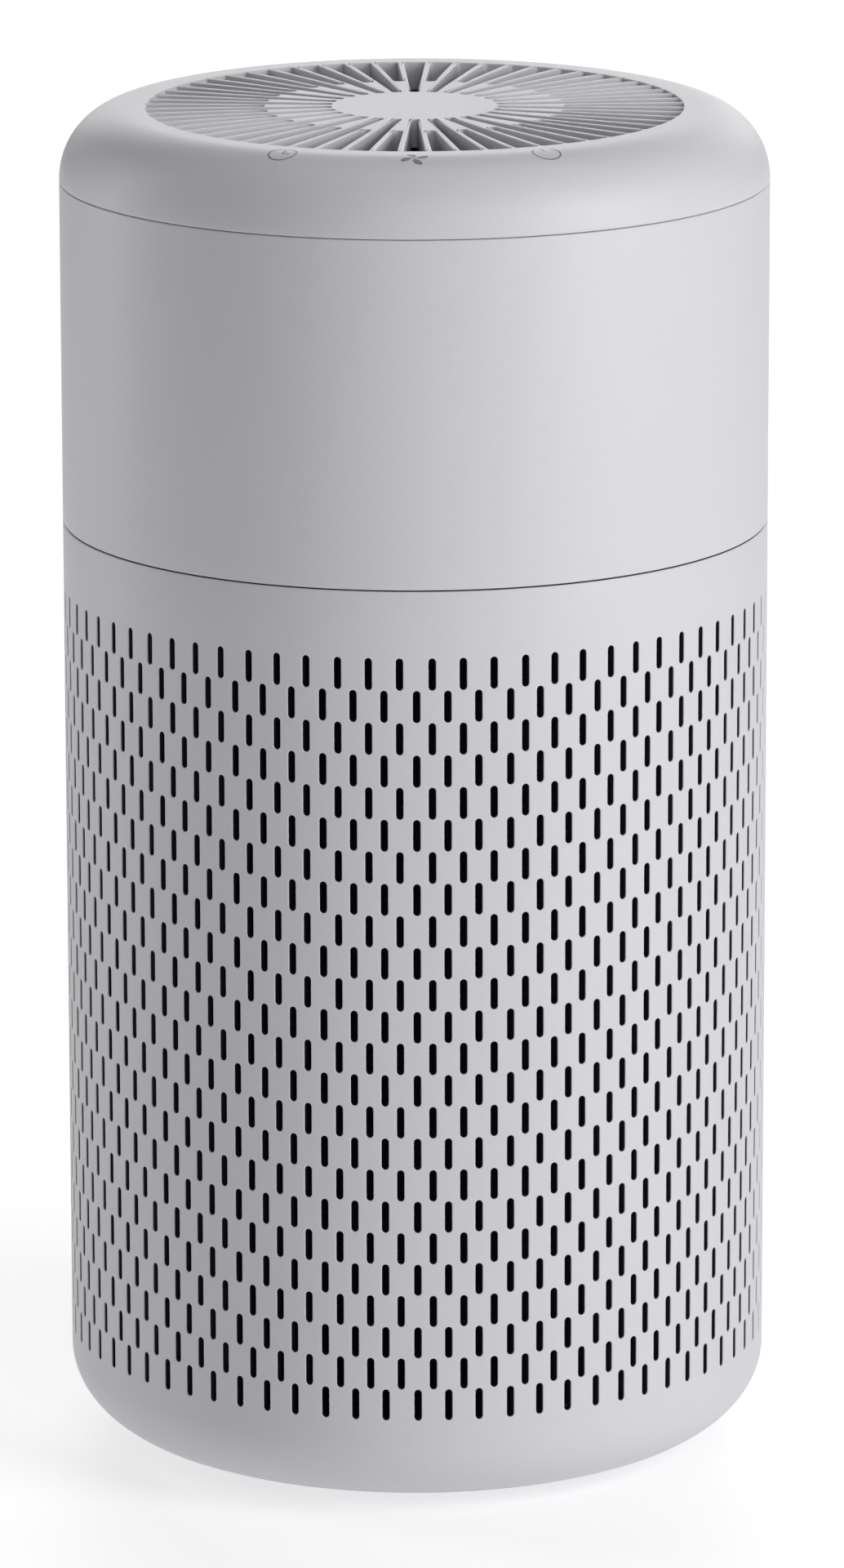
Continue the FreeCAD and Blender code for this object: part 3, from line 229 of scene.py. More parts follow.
def rounded(profile, radii, steps=4):
    """A polyline with each inner corner replaced by an arc of its radius; a radius of 0 keeps it."""
    points = [np.array(profile[0], float)[None]]
    for before, corner, after, radius in zip(profile[:-2], profile[1:-1], profile[2:], radii):
        corner = np.array(corner, float)
        if radius == 0:
            points.append(corner[None])
            continue
        back = np.array(before, float) - corner
        on = np.array(after, float) - corner
        back /= np.linalg.norm(back)
        on /= np.linalg.norm(on)
        half = math.acos(np.clip(back @ on, -1, 1)) / 2
        reach = radius / math.tan(half)
        middle = corner + (back + on) / np.linalg.norm(back + on) * radius / math.sin(half)
        start = corner + back * reach - middle
        finish = corner + on * reach - middle
        share = np.linspace(0, 1, steps)[:, None]
        sweep = math.pi - 2 * half
        swung = start * np.sin((1 - share) * sweep) + finish * np.sin(share * sweep)
        points.append(middle + swung / math.sin(sweep))
    points.append(np.array(profile[-1], float)[None])
    return np.concatenate(points)


def slot_loop(width, span, grow):
    """A slot outline anticlockwise from the middle of its lower end: half circles of half its
    width at the ends and straight sides between them, moved outward by grow. 20 points."""
    radius = width / 2 + grow
    reach = span / 2 - width / 2
    turn = np.radians(np.arange(-90, 1, 30))
    quarter = np.stack([radius * np.cos(turn), radius * np.sin(turn) - reach], axis=-1)
    side = np.stack([np.full(3, radius), reach * np.array([-0.5, 0, 0.5])], axis=-1)
    right = np.concatenate([quarter, side, quarter[:0:-1] * [1, -1]])
    left = right[:0:-1] * [-1, 1]
    top = np.array([[0, reach + radius]])
    return np.concatenate([right, top, left])


def panel_loop(corners, radii, counts, grow):
    """A four-cornered outline with round corners, moved outward by grow. Corners run anticlockwise.
    Each corner gives four points on its arc, and the side after it as many as counts says."""
    corners = np.array(corners, float)
    following = np.roll(corners, -1, axis=0)
    along = following - corners
    along /= np.linalg.norm(along, axis=1)[:, None]
    outward = np.stack([along[:, 1], -along[:, 0]], axis=-1)
    starts, ends, loops = [], [], []
    for index in range(4):
        before = along[index - 1]
        after = along[index]
        turn = math.acos(np.clip(before @ after, -1, 1))
        reach = radii[index] * math.tan(turn / 2)
        middle = corners[index] - before * reach - outward[index - 1] * radii[index]
        share = np.linspace(0, 1, 4)[:, None]
        bend = (outward[index - 1] * np.sin((1 - share) * turn) + outward[index] * np.sin(share * turn))
        bend /= math.sin(turn)
        loops.append(middle + bend * (radii[index] + grow))
        starts.append(loops[-1][0])
        ends.append(loops[-1][-1])
    parts = []
    for index in range(4):
        parts.append(loops[index])
        share = (np.arange(counts[index]) + 1)[:, None] / (counts[index] + 1)
        parts.append(ends[index] + (starts[(index + 1) % 4] - ends[index]) * share)
    return np.concatenate(parts)


def rim_steps(radius):
    """(outward shift, depth) of each loop of an opening's rim: one on the face around the rounding,
    then a quarter round down to the wall, radius (1 - sin) out and radius (1 - cos) deep."""
    turn = np.radians([0, 30, 60, 90])
    steps = np.stack([radius * (1 - np.sin(turn)), radius * (1 - np.cos(turn))], axis=-1)
    return np.vstack([[radius * 1.35, 0], steps])


# ---------------------------------------------------------------- shader expressions
class Finish:
    """One material's node tree. node() adds any node; its sockets take values or links."""

    def __init__(self, name):
        self.material = bpy.data.materials.new(name)
        self.material.use_nodes = True
        self.tree = self.material.node_tree
        self.surface = next(item for item in self.tree.nodes if item.type == "BSDF_PRINCIPLED")
        self.place = self.node("ShaderNodeTexCoord")["Object"]

    def node(self, kind, settings=None, **inputs):
        added = self.tree.nodes.new(kind)
        for name, setting in (settings or {}).items():
            setattr(added, name, setting)
        outputs = Outputs(self, added)
        for name, content in inputs.items():
            outputs.feed(name.replace("_", " "), content)
        return outputs

    def noise(self, scale, detail=2, roughness=0.5, stretch=None):
        """Noise over the object's own coordinates, in cycles per metre."""
        place = self.place
        if stretch:
            place = self.node("ShaderNodeVectorMath", {"operation": "MULTIPLY"},
                              **{"0": place, "1": stretch})["Vector"]
        cloud = self.node("ShaderNodeTexNoise", Vector=place, Scale=scale, Detail=detail,
                          Roughness=roughness)
        return cloud["Fac"]

    def reach(self):
        """The distance from the object's vertical axis."""
        plan = self.node("ShaderNodeVectorMath", {"operation": "MULTIPLY"},
                         **{"0": self.place, "1": (1, 1, 0)})["Vector"]
        return self.node("ShaderNodeVectorMath", {"operation": "LENGTH"}, **{"0": plan})["Value"]

    def blend(self, share, first, second):
        """A colour between two colours."""
        mixed = self.node("ShaderNodeMix", {"data_type": "RGBA"})
        mixed.feed(0, share)
        mixed.feed(6, first)
        mixed.feed(7, second)
        return mixed[2]

    def shade(self, base, low, high, share):
        """The base colour times low where share is 0 and times high where it is 1."""
        return self.blend(share, tuple(part * low for part in base), tuple(part * high for part in base))

    def finish(self, base, roughness, height=None, depth=0.00002, **fixed):
        """Sets what varies through links, and every constant directly on its socket."""
        outputs = Outputs(self, self.surface)
        outputs.feed("Base Color", base)
        outputs.feed("Roughness", roughness)
        if height is not None:
            bump = self.node("ShaderNodeBump", Strength=1.0, Distance=depth, Height=height)
            outputs.feed("Normal", bump["Normal"])
        for name, content in fixed.items():
            outputs.feed(name.replace("_", " "), content)
        return self.material


class Outputs:
    """A node's sockets by name."""

    def __init__(self, finish, node):
        self.finish = finish
        self.node = node

    def __getitem__(self, name):
        return Value(self.finish, self.node.outputs[name])

    def feed(self, name, content):
        socket = self.node.inputs[int(name) if str(name).isdigit() else name]
        if isinstance(content, Value):
            self.finish.tree.links.new(content.socket, socket)
        elif isinstance(content, tuple) and len(content) == 3 and socket.type == "RGBA":
            socket.default_value = (*content, 1)
        else:
            socket.default_value = content


class Value:
    """A socket that takes part in arithmetic; each operation adds its Math node."""

    def __init__(self, finish, socket):
        self.finish = finish
        self.socket = socket

    def math(self, operation, *others):
        inputs = {str(index): item for index, item in enumerate((self, *others))}
        return self.finish.node("ShaderNodeMath", {"operation": operation}, **inputs)["Value"]

    def __add__(self, other):
        return self.math("ADD", other)

    def __mul__(self, other):
        return self.math("MULTIPLY", other)

    def __rsub__(self, other):
        return (self * -1) + other

    def clamp(self, low, high):
        """0 at low and 1 at high, straight between them."""
        limits = {"From Min": low, "From Max": high}
        return self.finish.node("ShaderNodeMapRange", Value=self, **limits)["Result"]


# ---------------------------------------------------------------- finishes
def shell_finish(name="shell_plastic", coat=None, foot=0):
    """Matte moulded plastic: a fine spark-eroded grain and soft mottling. Given a coat radius, whatever
    lies nearer to the axis than it, above the foot, is painted the inner black: painted shade on the slot
    walls and the sleeve's inside."""
    colours = bpy.context.scene.purifier_finish
    finish = Finish(name)
    grain = finish.noise(2600, 3, 0.6)
    mottle = finish.noise(24, 3)
    speck = finish.noise(900, 2).clamp(0.25, 0.75)
    base = finish.shade(tuple(colours.shell), 0.975, 1.02, mottle * 0.6 + speck * 0.4)
    if coat:
        # Painted shade: the slot walls and the sleeve's inner face, deeper than this radius and above the
        # foot, are painted black where shade falls in the slots.
        blur = 0.05 * MM
        deep = 1 - finish.reach().clamp(coat - blur, coat + blur)
        height = finish.node("ShaderNodeSeparateXYZ", Vector=finish.place)["Z"]
        upper = height.clamp(foot, foot + 2 * blur)
        base = finish.blend(deep * upper, base, tuple(colours.inner))
    return finish.finish(base, mottle * 0.05 + grain * 0.08 + 0.42, grain, 0.000022, IOR=1.46)


def mark_finish():
    """Shallow etched grey of the touch marks."""
    colours = bpy.context.scene.purifier_finish
    finish = Finish("touch_mark")
    grain = finish.noise(4200, 2)
    base = finish.shade(tuple(colours.mark), 0.92, 1.06, grain)
    return finish.finish(base, grain * 0.1 + 0.45, grain, 0.00001)


def moulded(name, base, rough=0.5, grain_scale=1500, depth=0.00003):
    """Plain moulded plastic with flow streaks and a light texture."""
    finish = Finish(name)
    grain = finish.noise(grain_scale, 3, 0.6)
    streak = finish.noise(35, 3, 0.6, (1, 1, 0.25))
    colour_base = finish.shade(tuple(base), 0.85, 1.2, streak)
    return finish.finish(colour_base, grain * 0.12 + (rough - 0.06), grain, depth)


def metal(name, base, rough=0.3, stretch=(1, 1, 14), scale=420, depth=0.000006):
    """Turned or drawn metal: fine lines along one direction and a little tarnish."""
    finish = Finish(name)
    lines = finish.noise(scale, 3, 0.6, stretch)
    tarnish = finish.noise(140, 3)
    colour_base = finish.shade(base, 0.8, 1.08, tarnish)
    roughness = lines * 0.15 + tarnish * 0.1 + (rough - 0.1)
    return finish.finish(colour_base, roughness, lines, depth, Metallic=1.0)


def foam(name, base):
    """Closed-cell foam: small round cells in relief."""
    finish = Finish(name)
    cells = finish.node("ShaderNodeTexVoronoi", Vector=finish.place, Scale=1400.0)["Distance"]
    colour_base = finish.shade(base, 0.6, 1.3, cells)
    return finish.finish(colour_base, cells * 0.1 + 0.82, cells, 0.0002)


def woven(name, base, pitch=0.8 * MM, radius=75.8 * MM):
    """Fine woven mesh: two sets of threads crossing at right angles round the cylinder."""
    finish = Finish(name)
    turns = finish.node("ShaderNodeSeparateXYZ", Vector=finish.place)
    heading = turns["Y"].math("ARCTAN2", turns["X"])
    across = (heading * (radius / pitch * 2 * math.pi)).math("SINE")
    rising = (turns["Z"] * (2 * math.pi / pitch)).math("SINE")
    weave = (across * rising) * 0.5 + 0.5
    fuzz = finish.noise(3000, 2)
    colour_base = finish.shade(tuple(base), 0.6, 1.35, weave * 0.7 + fuzz * 0.3)
    return finish.finish(colour_base, weave * 0.1 + 0.78, weave, 0.00025)


def paper(name, base):
    """Glass-fibre filter paper: matted fibres and a soft stain of use."""
    finish = Finish(name)
    fibre = finish.noise(1900, 4, 0.7, (1, 1, 0.3))
    stain = finish.noise(30, 3)
    colour_base = finish.shade(tuple(base), 0.9, 1.04, fibre * 0.5 + stain * 0.5)
    return finish.finish(colour_base, fibre * 0.1 + 0.85, fibre, 0.0001)


def carbon_fabric():
    """Black granules held in fabric."""
    finish = Finish("carbon_fabric")
    grains = finish.node("ShaderNodeTexVoronoi", Vector=finish.place, Scale=700.0)["Distance"]
    base = finish.shade((0.015, 0.015, 0.016), 0.5, 2.2, grains)
    return finish.finish(base, grains * 0.2 + 0.6, grains, 0.0004)


def circuit():
    """Green solder mask with copper tracks under it and a faint weave."""
    finish = Finish("circuit_board")
    cells = finish.node("ShaderNodeTexVoronoi", {"distance": "CHEBYCHEV"}, Vector=finish.place,
                        Scale=260.0)
    tracks = cells["Distance"].math("FRACT").clamp(0.30, 0.34)
    grain = finish.noise(1500, 2)
    base = finish.blend(tracks * 0.55, (0.012, 0.09, 0.035), (0.03, 0.20, 0.07))
    return finish.finish(base, grain * 0.1 + 0.28, tracks, 0.00003)


def windings():
    """Enamelled copper wire laid in rows round each tooth."""
    finish = Finish("copper_wire")
    wire = 0.5 * MM
    turn = (finish.reach() * (2 * math.pi / wire)).math("SINE") * 0.5 + 0.5
    patch = finish.noise(300, 2)
    base = finish.shade((0.62, 0.24, 0.09), 0.75, 1.15, turn * 0.7 + patch * 0.3)
    return finish.finish(base, patch * 0.1 + 0.3, turn, 0.0002, Metallic=1.0)


def rubber(name, base):
    """Soft rubber with a dusty bloom."""
    finish = Finish(name)
    bloom = finish.noise(160, 4, 0.65)
    grain = finish.noise(1800, 3)
    colour_base = finish.shade(tuple(base), 0.75, 1.35, bloom)
    return finish.finish(colour_base, bloom * 0.12 + 0.7, grain, 0.00005)


def floor_finish():
    """Plain pale studio floor, which glows a little and is clear from below."""
    colours = bpy.context.scene.purifier_finish
    finish = Finish("studio_floor")
    cloud = finish.noise(3, 2)
    base = finish.shade(tuple(colours.floor), 0.995, 1.0, cloud)
    glow = {"Emission Color": (1, 1, 1), "Emission Strength": FLOOR_GLOW}
    material = finish.finish(base, cloud * 0.02 + 0.6, **glow)
    below = finish.node("ShaderNodeNewGeometry")["Backfacing"]
    clear = finish.node("ShaderNodeBsdfTransparent")["BSDF"]
    opaque = Value(finish, finish.surface.outputs["BSDF"])
    mixed = finish.node("ShaderNodeMixShader", **{"0": below, "1": opaque, "2": clear})["Shader"]
    ending = next(item for item in finish.tree.nodes if item.type == "OUTPUT_MATERIAL")
    Outputs(finish, ending).feed("Surface", mixed)
    return material


# ---------------------------------------------------------------- sleeve
COLUMNS = 6
ROWS = 12
SECTORS = 24
SECTOR = 2 * math.pi / SECTORS
SEAM_STRIP = math.radians(0.05)
CELL_STEPS = 8
DOOR_GAP = 0.6 * MM
LEDGE_DROP = 7.4 * MM
LEDGE_THICKNESS = 3.2 * MM
LEDGE_BORE = 79.5 * MM


def sector_edges(sizes):
    """Angles of the column edges in a 15 degree sector, with a thin strip at each end that keeps
    the light even where two pieces meet."""
    pitch = sizes.column_pitch / RADIUS
    end = SECTOR / 2
    inner = pitch * np.arange(-2, 3)
    return np.concatenate([[-end, SEAM_STRIP - end], inner, [end - SEAM_STRIP, end]])


def sleeve_cells(sizes, edges):
    """Loops of every slot of one sector, on the sector's own axes: x outward, y across, z up.
    A slot is cut straight along x, as a mould's slide cuts it: a loop point lies at
    x = sqrt(R^2 - y^2) - depth. Each cell's outer loop follows its column's edges."""
    inner_radius = RADIUS - sizes.wall
    steps = rim_steps(sizes.slot_edge)
    shapes = [slot_loop(sizes.slot_width, sizes.slot_length, shift) for shift, _ in steps]
    side = np.arange(-CELL_STEPS // 2, CELL_STEPS // 2 + 1) * sizes.row_pitch / (CELL_STEPS // 2)
    up = np.concatenate([[side[0]], side, [side[-1]], side[::-1]])
    heights = 2 * sizes.row_pitch * np.arange(ROWS)
    stacks = []
    for column in range(COLUMNS):
        left, right = edges[column + 1], edges[column + 2]
        halfway = [(left + right) / 2]
        turn = np.concatenate([halfway, np.full(len(side), right), halfway, np.full(len(side), left)])
        middle = (column - (COLUMNS - 1) / 2) * sizes.column_pitch
        loops = [wrapped(RADIUS, turn, up)]
        for shape, (_, depth) in zip(shapes, steps):
            y = middle + shape[:, 0]
            loops.append(np.stack([np.sqrt(RADIUS**2 - y**2) - depth, y, shape[:, 1]], axis=-1))
        y = middle + shapes[-1][:, 0]
        loops.append(np.stack([np.sqrt(inner_radius**2 - y**2), y, shapes[-1][:, 1]], axis=-1))
        loops.append(wrapped(inner_radius, turn, up))
        lifted = np.repeat(np.stack(loops)[None], ROWS, axis=0)
        first = sizes.lowest_row + (column % 2) * sizes.row_pitch
        lifted[..., 2] += (first + heights)[:, None, None]
        stacks.append(lifted)
    return np.concatenate(stacks)


def turned(points, turn):
    """Points turned about the vertical axis."""
    spun = points.copy()
    spun[..., 0] = points[..., 0] * math.cos(turn) - points[..., 1] * math.sin(turn)
    spun[..., 1] = points[..., 0] * math.sin(turn) + points[..., 1] * math.cos(turn)
    return spun


def sleeve_profiles(sizes, low, high):
    """The plain parts of the sleeve's section: the band above the slots, and the foot below them."""
    inner = RADIUS - sizes.wall
    top = SLEEVE_HIGH.z
    edge = sizes.edge
    depth, rise = sizes.corner_depth, sizes.corner_rise
    band = rounded([(RADIUS, high), (RADIUS, top), (inner, top), (inner, high)], [edge, edge * 0.6], 6)
    corner = (RADIUS - depth, DOOR_LOW.z + rise)
    tip = DOOR_HIGH.x + DOOR_GAP
    outer = quarter_oval(corner, depth, rise, 0, 40, True)
    outer = outer[outer[:, 0] > tip + 0.2 * MM]
    tip_height = corner[1] - rise * math.sqrt(1 - ((tip - corner[0]) / depth)**2)
    ledge_low = DOOR_HIGH.z - LEDGE_DROP
    ledge_top = ledge_low + LEDGE_THICKNESS
    inside = quarter_oval(corner, depth, rise, sizes.wall, 40, True)
    inside = inside[inside[:, 1] > ledge_top + 0.3 * MM]
    across = (corner[1] - ledge_top) / (rise - sizes.wall)
    inside_end = corner[0] + (depth - sizes.wall) * math.sqrt(1 - across**2)
    foot = np.concatenate([
        [(inner, low)],
        inside,
        [(inside_end, ledge_top), (LEDGE_BORE, ledge_top), (LEDGE_BORE, ledge_low), (tip, ledge_low),
         (tip, tip_height + 0.25 * MM), (tip + 0.08 * MM, tip_height + 0.1 * MM)],
        outer[::-1],
        [(RADIUS, low)],
    ])
    return band, foot


def slotted_wall(skin, cells, edges, levels, inner, turn):
    """One sector: its slots, the strips at both ends, and the half cells below and above the slots
    of alternate columns."""
    skin.rings(turned(cells, turn))
    half_cell = CELL_STEPS // 2 + 1
    for radius, flip in ((RADIUS, False), (inner, True)):
        wall = lathe(upright(radius, levels), edges + turn)
        skin.grid(wall[:, :2], flip)
        skin.grid(wall[:, -2:], flip)
        for column in range(COLUMNS):
            spare = slice(half_cell) if column % 2 else slice(-half_cell, None)
            left, right = wall[spare, column + 1], wall[spare, column + 2]
            halfway = edges[column + 1:column + 3].mean() + turn
            middle = lathe(upright(radius, levels[spare]), np.array([halfway]))[:, 0]
            skin.grid(np.stack([left, middle, right], axis=1), flip)


def sleeve_end(skin, levels, inner, sections, turn, flip):
    """Closes a quarter of the sleeve where it meets the next one."""
    lines = [lathe(upright(radius, levels), np.array([turn])) for radius in (inner, RADIUS)]
    skin.grid(np.concatenate(lines, axis=1), not flip)
    for section in sections:
        loop = lathe(section, np.array([turn]))[:, 0]
        half = len(loop) // 2
        pairs = np.stack([loop[:half], loop[::-1][:half]], axis=1)
        skin.grid(pairs, flip)
        if len(loop) % 2:
            skin.grid(np.stack([pairs[-1], np.repeat(loop[half:half + 1], 2, axis=0)]), flip)


class PURIFIER_OT_sleeve(bpy.types.Operator):
    """Slotted sleeve, in four quarters"""

    bl_idname = "purifier.sleeve"
    bl_label = "Sleeve"

    def execute(self, context):
        sizes = context.scene.purifier_sizes
        edges = sector_edges(sizes)
        cells = sleeve_cells(sizes, edges)
        low = sizes.lowest_row - sizes.row_pitch
        high = sizes.lowest_row + 2 * ROWS * sizes.row_pitch
        levels = np.linspace(low, high, CELL_STEPS // 2 * (2 * ROWS + 1) + 1)
        sections = sleeve_profiles(sizes, low, high)
        inner = RADIUS - sizes.wall
        halves = (edges[1:-2] + edges[2:-1]) / 2
        angles = np.sort(np.concatenate([edges, halves]))
        # A column, and not a land between columns, stands on the front's middle.
        first = FRONT - math.asin(sizes.column_pitch / 2 / RADIUS)
        # The sleeve's material paints its slot walls and inner face black: painted shade in the slots.
        material = shell_finish("painted_slot_shade_plastic", RADIUS - sizes.coat_depth, low)
        quarter = SECTORS // 4
        for number, name in enumerate(("sleeve_front", "sleeve_right", "sleeve_back", "sleeve_left")):
            skin = Skin()
            start = first + (number * quarter - quarter / 2) * SECTOR
            for sector in range(quarter):
                turn = start + (sector + 0.5) * SECTOR
                slotted_wall(skin, cells, edges, levels, inner, turn)
                for section in sections:
                    skin.grid(lathe(section, angles + turn))
            sleeve_end(skin, levels, inner, sections, start, True)
            sleeve_end(skin, levels, inner, sections, start + quarter * SECTOR, False)
            place(name, skin.mesh(name), material, "housing", "shell_plastic",
                  *(["lower_shell"] if number == 0 else []))
        return {"FINISHED"}


# ---------------------------------------------------------------- housing
HOUSING_STEPS = 256
CLEARANCE = 0.4 * MM
FAN_BORE = 82 * MM
BORE_EDGE = 0.5 * MM
WINDOW_REACH = 4
WINDOW_ROW = 4 * MM
WINDOW_CORNER = 1.2 * MM
WINDOW_RIM = 0.35 * MM


def window_loops(levels, inner, middle):
    """Loops of the socket window from the outer face to the inner one: one on the housing's own
    grid, a rounded rim, walls cut straight along y, and one on the grid inside."""
    half_tall = (SOCKET_HIGH.z - SOCKET_LOW.z) / 2 + CLEARANCE
    half_wide = SOCKET_HIGH.x + CLEARANCE
    turn = np.arange(-WINDOW_REACH, WINDOW_REACH + 1) * 2 * math.pi / HOUSING_STEPS + math.pi / 2
    turns = np.concatenate([turn[:-1], np.full(4, turn[-1]), turn[:0:-1], np.full(4, turn[0])])
    heights = np.concatenate([np.full(len(turn) - 1, levels[0]), levels[:-1],
                              np.full(len(turn) - 1, levels[-1]), levels[:0:-1]])
    corners = [(half_wide, -half_tall), (half_wide, half_tall), (-half_wide, half_tall),
               (-half_wide, -half_tall)]
    loops = [wrapped(RADIUS, turns, heights)]
    for shift, depth in rim_steps(WINDOW_RIM):
        # The outline starts at a corner's first point; rolled on, it starts as the grid's loop does.
        shape = np.roll(panel_loop(corners, [WINDOW_CORNER] * 4, [1, 3, 1, 3], shift), 5, axis=0)
        x, up = shape[:, 0], shape[:, 1] + middle
        loops.append(np.stack([-x, np.sqrt(RADIUS**2 - x**2) - depth, up], axis=-1))
    loops.append(np.stack([-x, np.sqrt(inner**2 - x**2), up], axis=-1))
    loops.append(wrapped(inner, turns, heights))
    return np.stack(loops)


class PURIFIER_OT_housing(bpy.types.Operator):
    """Plain upper housing with its socket window"""

    bl_idname = "purifier.housing"
    bl_label = "Upper housing"

    def execute(self, context):
        sizes = context.scene.purifier_sizes
        edge, wall = sizes.edge, sizes.wall
        inner = RADIUS - wall
        low = SLEEVE_HIGH.z + sizes.seam_gap
        high = HOUSING_HIGH.z
        deck = HOUSING_LOW.z
        spigot = inner - CLEARANCE
        middle = (SOCKET_LOW.z + SOCKET_HIGH.z) / 2
        levels = middle + np.linspace(-2, 2, 5) * WINDOW_ROW
        angles = np.linspace(0, 2 * math.pi, HOUSING_STEPS + 1) + math.pi / 2
        base = rounded([(inner, levels[0]), (inner, low + wall), (spigot - wall, low + wall),
                        (spigot - wall, deck + wall), (FAN_BORE, deck + wall), (FAN_BORE, deck),
                        (spigot, deck), (spigot, low), (RADIUS, low), (RADIUS, levels[0])],
                       [0, 0, 0, 0, 0, BORE_EDGE, 0, edge], 6)
        crest = rounded([(RADIUS, levels[-1]), (RADIUS, high), (inner, high), (inner, levels[-1])],
                        [edge, edge * 0.6], 6)
        skin = Skin()
        skin.grid(lathe(base, angles))
        skin.grid(lathe(crest, angles))
        for radius, flip in ((RADIUS, False), (inner, True)):
            zone = lathe(upright(radius, levels), angles)
            skin.grid(zone[:, WINDOW_REACH:-WINDOW_REACH], flip)
        skin.rings(window_loops(levels, inner, middle))
        place("housing", skin.mesh("housing"), shell_finish(), "housing", "shell_plastic", "upper_housing")
        return {"FINISHED"}


# ---------------------------------------------------------------- cover
HUB_RING = 22 * MM
SHORT_RING = 40 * MM
OUTER_RING = 78 * MM
HUB_RECESS = 20.4 * MM
LIP_RISE = 1.2 * MM
SLOT_PAIRS = 30
PAIR_TURN = math.radians(12)
HALF_CELL = math.radians(3)
SLOT_END_HALF = 3.1 * MM
SLOT_END_CORNER = 0.5 * MM
LONG_START_CORNER = 0.75 * MM
SHORT_START_HALF = 1.29 * MM
SHORT_START_CORNER = 1.15 * MM
MARK_ROOM = 0.03 * MM


def crown_height(radius, sizes):
    """Height of the cover's top at a distance from the axis: flat, then a quarter oval down."""
    rise = crown_top() - cover_low(sizes)
    over = np.clip((radius - (RADIUS - sizes.shoulder_depth)) / sizes.shoulder_depth, 0, 1)
    return crown_top() - rise * (1 - np.sqrt(1 - over**2))


def crown_top():
    """The cover's flat top, a hair under the frame's so that the marks on it stay inside."""
    return TOP - MARK_ROOM


def cover_low(sizes):
    return HOUSING_HIGH.z + sizes.cover_gap


def cover_section(sizes):
    """The cover's section outside the grille: collar, inside of the shoulder, lip and outside."""
    top, low, wall, depth = crown_top(), cover_low(sizes), sizes.wall, sizes.shoulder_depth
    collar = SEAL_HIGH.z
    middle = (RADIUS - depth, low)
    outside = quarter_oval(middle, depth, top - low, 0, 40, False)
    inside = quarter_oval(middle, depth, top - low, wall, 24, False)
    lip_top = low + LIP_RISE
    lip = rounded([(RADIUS - wall, lip_top), (RADIUS - wall, low), (RADIUS, low), (RADIUS, lip_top)],
                  [sizes.edge * 0.6, sizes.edge], 6)
    return np.concatenate([
        [(OUTER_RING, TOP - sizes.rib_depth), (OUTER_RING, collar), (SEAL_HIGH.x, collar),
         (SEAL_HIGH.x, top - wall)],
        inside[::-1][:-2],
        lip,
        outside[outside[:, 1] > lip_top + 0.3 * MM],
        [(OUTER_RING, top)],
    ])


def grille_cell(sizes, corners, start_corner, side):
    """Loops of one grille slot, along +X, from the top down: the edge of its six degree cell, the
    slot's rounded rim and its walls, and the cell's edge again. The side gives the cell's radii."""
    top, bottom = crown_top(), TOP - sizes.rib_depth
    ends = np.array([-0.5, 0, 0.5]) * HALF_CELL
    cell = np.concatenate([
        np.stack([side * math.cos(HALF_CELL), -side * math.sin(HALF_CELL)], axis=-1),
        np.stack([OUTER_RING * np.cos(ends), OUTER_RING * np.sin(ends)], axis=-1),
        np.stack([side[::-1] * math.cos(HALF_CELL), side[::-1] * math.sin(HALF_CELL)], axis=-1),
        [(side[0], 0)],
    ])
    radii = [start_corner, SLOT_END_CORNER, SLOT_END_CORNER, start_corner]
    # The arcs at the four corners take the other eight of the cell's points.
    counts = [len(side) - 8, 3, len(side) - 8, 1]
    shapes, levels = [cell], [top]
    for shift, depth in rim_steps(sizes.rib_edge):
        shapes.append(panel_loop(corners, radii, counts, shift))
        levels.append(top - depth)
    rim_low = top - sizes.rib_edge
    for drop in (0.35, 0.7, 1):
        shapes.append(shapes[-1])
        levels.append(rim_low - (rim_low - bottom) * drop)
    shapes.append(cell)
    levels.append(bottom)
    return np.stack([np.column_stack([shape, np.full(len(shape), level)])
                     for shape, level in zip(shapes, levels)])


class PURIFIER_OT_cover(bpy.types.Operator):
    """Top cover with its shoulder, hub and radial grille"""

    bl_idname = "purifier.cover"
    bl_label = "Top cover"

    def execute(self, context):
        sizes = context.scene.purifier_sizes
        skin = Skin()
        top, bottom, under = crown_top(), TOP - sizes.rib_depth, crown_top() - sizes.wall
        skin.grid(lathe(cover_section(sizes), np.radians(np.arange(0, 361, 1.5)) + FRONT))
        hub_turns = np.radians(np.arange(0, 361, 3)) + FRONT
        skin.grid(lathe(flat(np.linspace(HUB_RING, 0, 8), top), hub_turns))
        recess = np.array([(0, under), (HUB_RECESS, under), (HUB_RECESS, bottom), (HUB_RING, bottom)])
        skin.grid(lathe(recess, hub_turns))

        near, start = sizes.hub_radius, sizes.short_start
        far = math.sqrt(sizes.grille_radius**2 - SLOT_END_HALF**2)
        spread = math.tan(sizes.long_half)
        long_corners = [(near, -near * spread), (far, -far * spread), (far, far * spread),
                        (near, near * spread)]
        short_corners = [(start, -SHORT_START_HALF), (far, -SLOT_END_HALF), (far, SLOT_END_HALF),
                         (start, SHORT_START_HALF)]
        hub_side = np.linspace(HUB_RING, SHORT_RING, 5)
        outer_side = np.linspace(SHORT_RING, OUTER_RING, 13)
        long_side = np.concatenate([hub_side[:-1], outer_side])
        long_cell = grille_cell(sizes, long_corners, LONG_START_CORNER, long_side)
        short_cell = grille_cell(sizes, short_corners, SHORT_START_CORNER, outer_side)
        for index in range(SLOT_PAIRS):
            turn = FRONT + index * PAIR_TURN
            between = turn + PAIR_TURN / 2
            skin.rings(turned(long_cell, turn))
            skin.rings(turned(short_cell, between))
            # The solid stretch between the hub and the short slot.
            for level, flip in ((top, False), (bottom, True)):
                patch = lathe(flat(hub_side, level), between + np.array([-HALF_CELL, 0, HALF_CELL]))
                skin.grid(patch.transpose(1, 0, 2), flip)
        place("cover", skin.mesh("cover"), shell_finish(), "housing", "shell_plastic", "top_cover")
        return {"FINISHED"}


# ---------------------------------------------------------------- touch marks
MARK_LIFT = 0.02 * MM
MARK_SINK = 0.05 * MM
FAN_BLADES = 4
POWER_GAP = 38
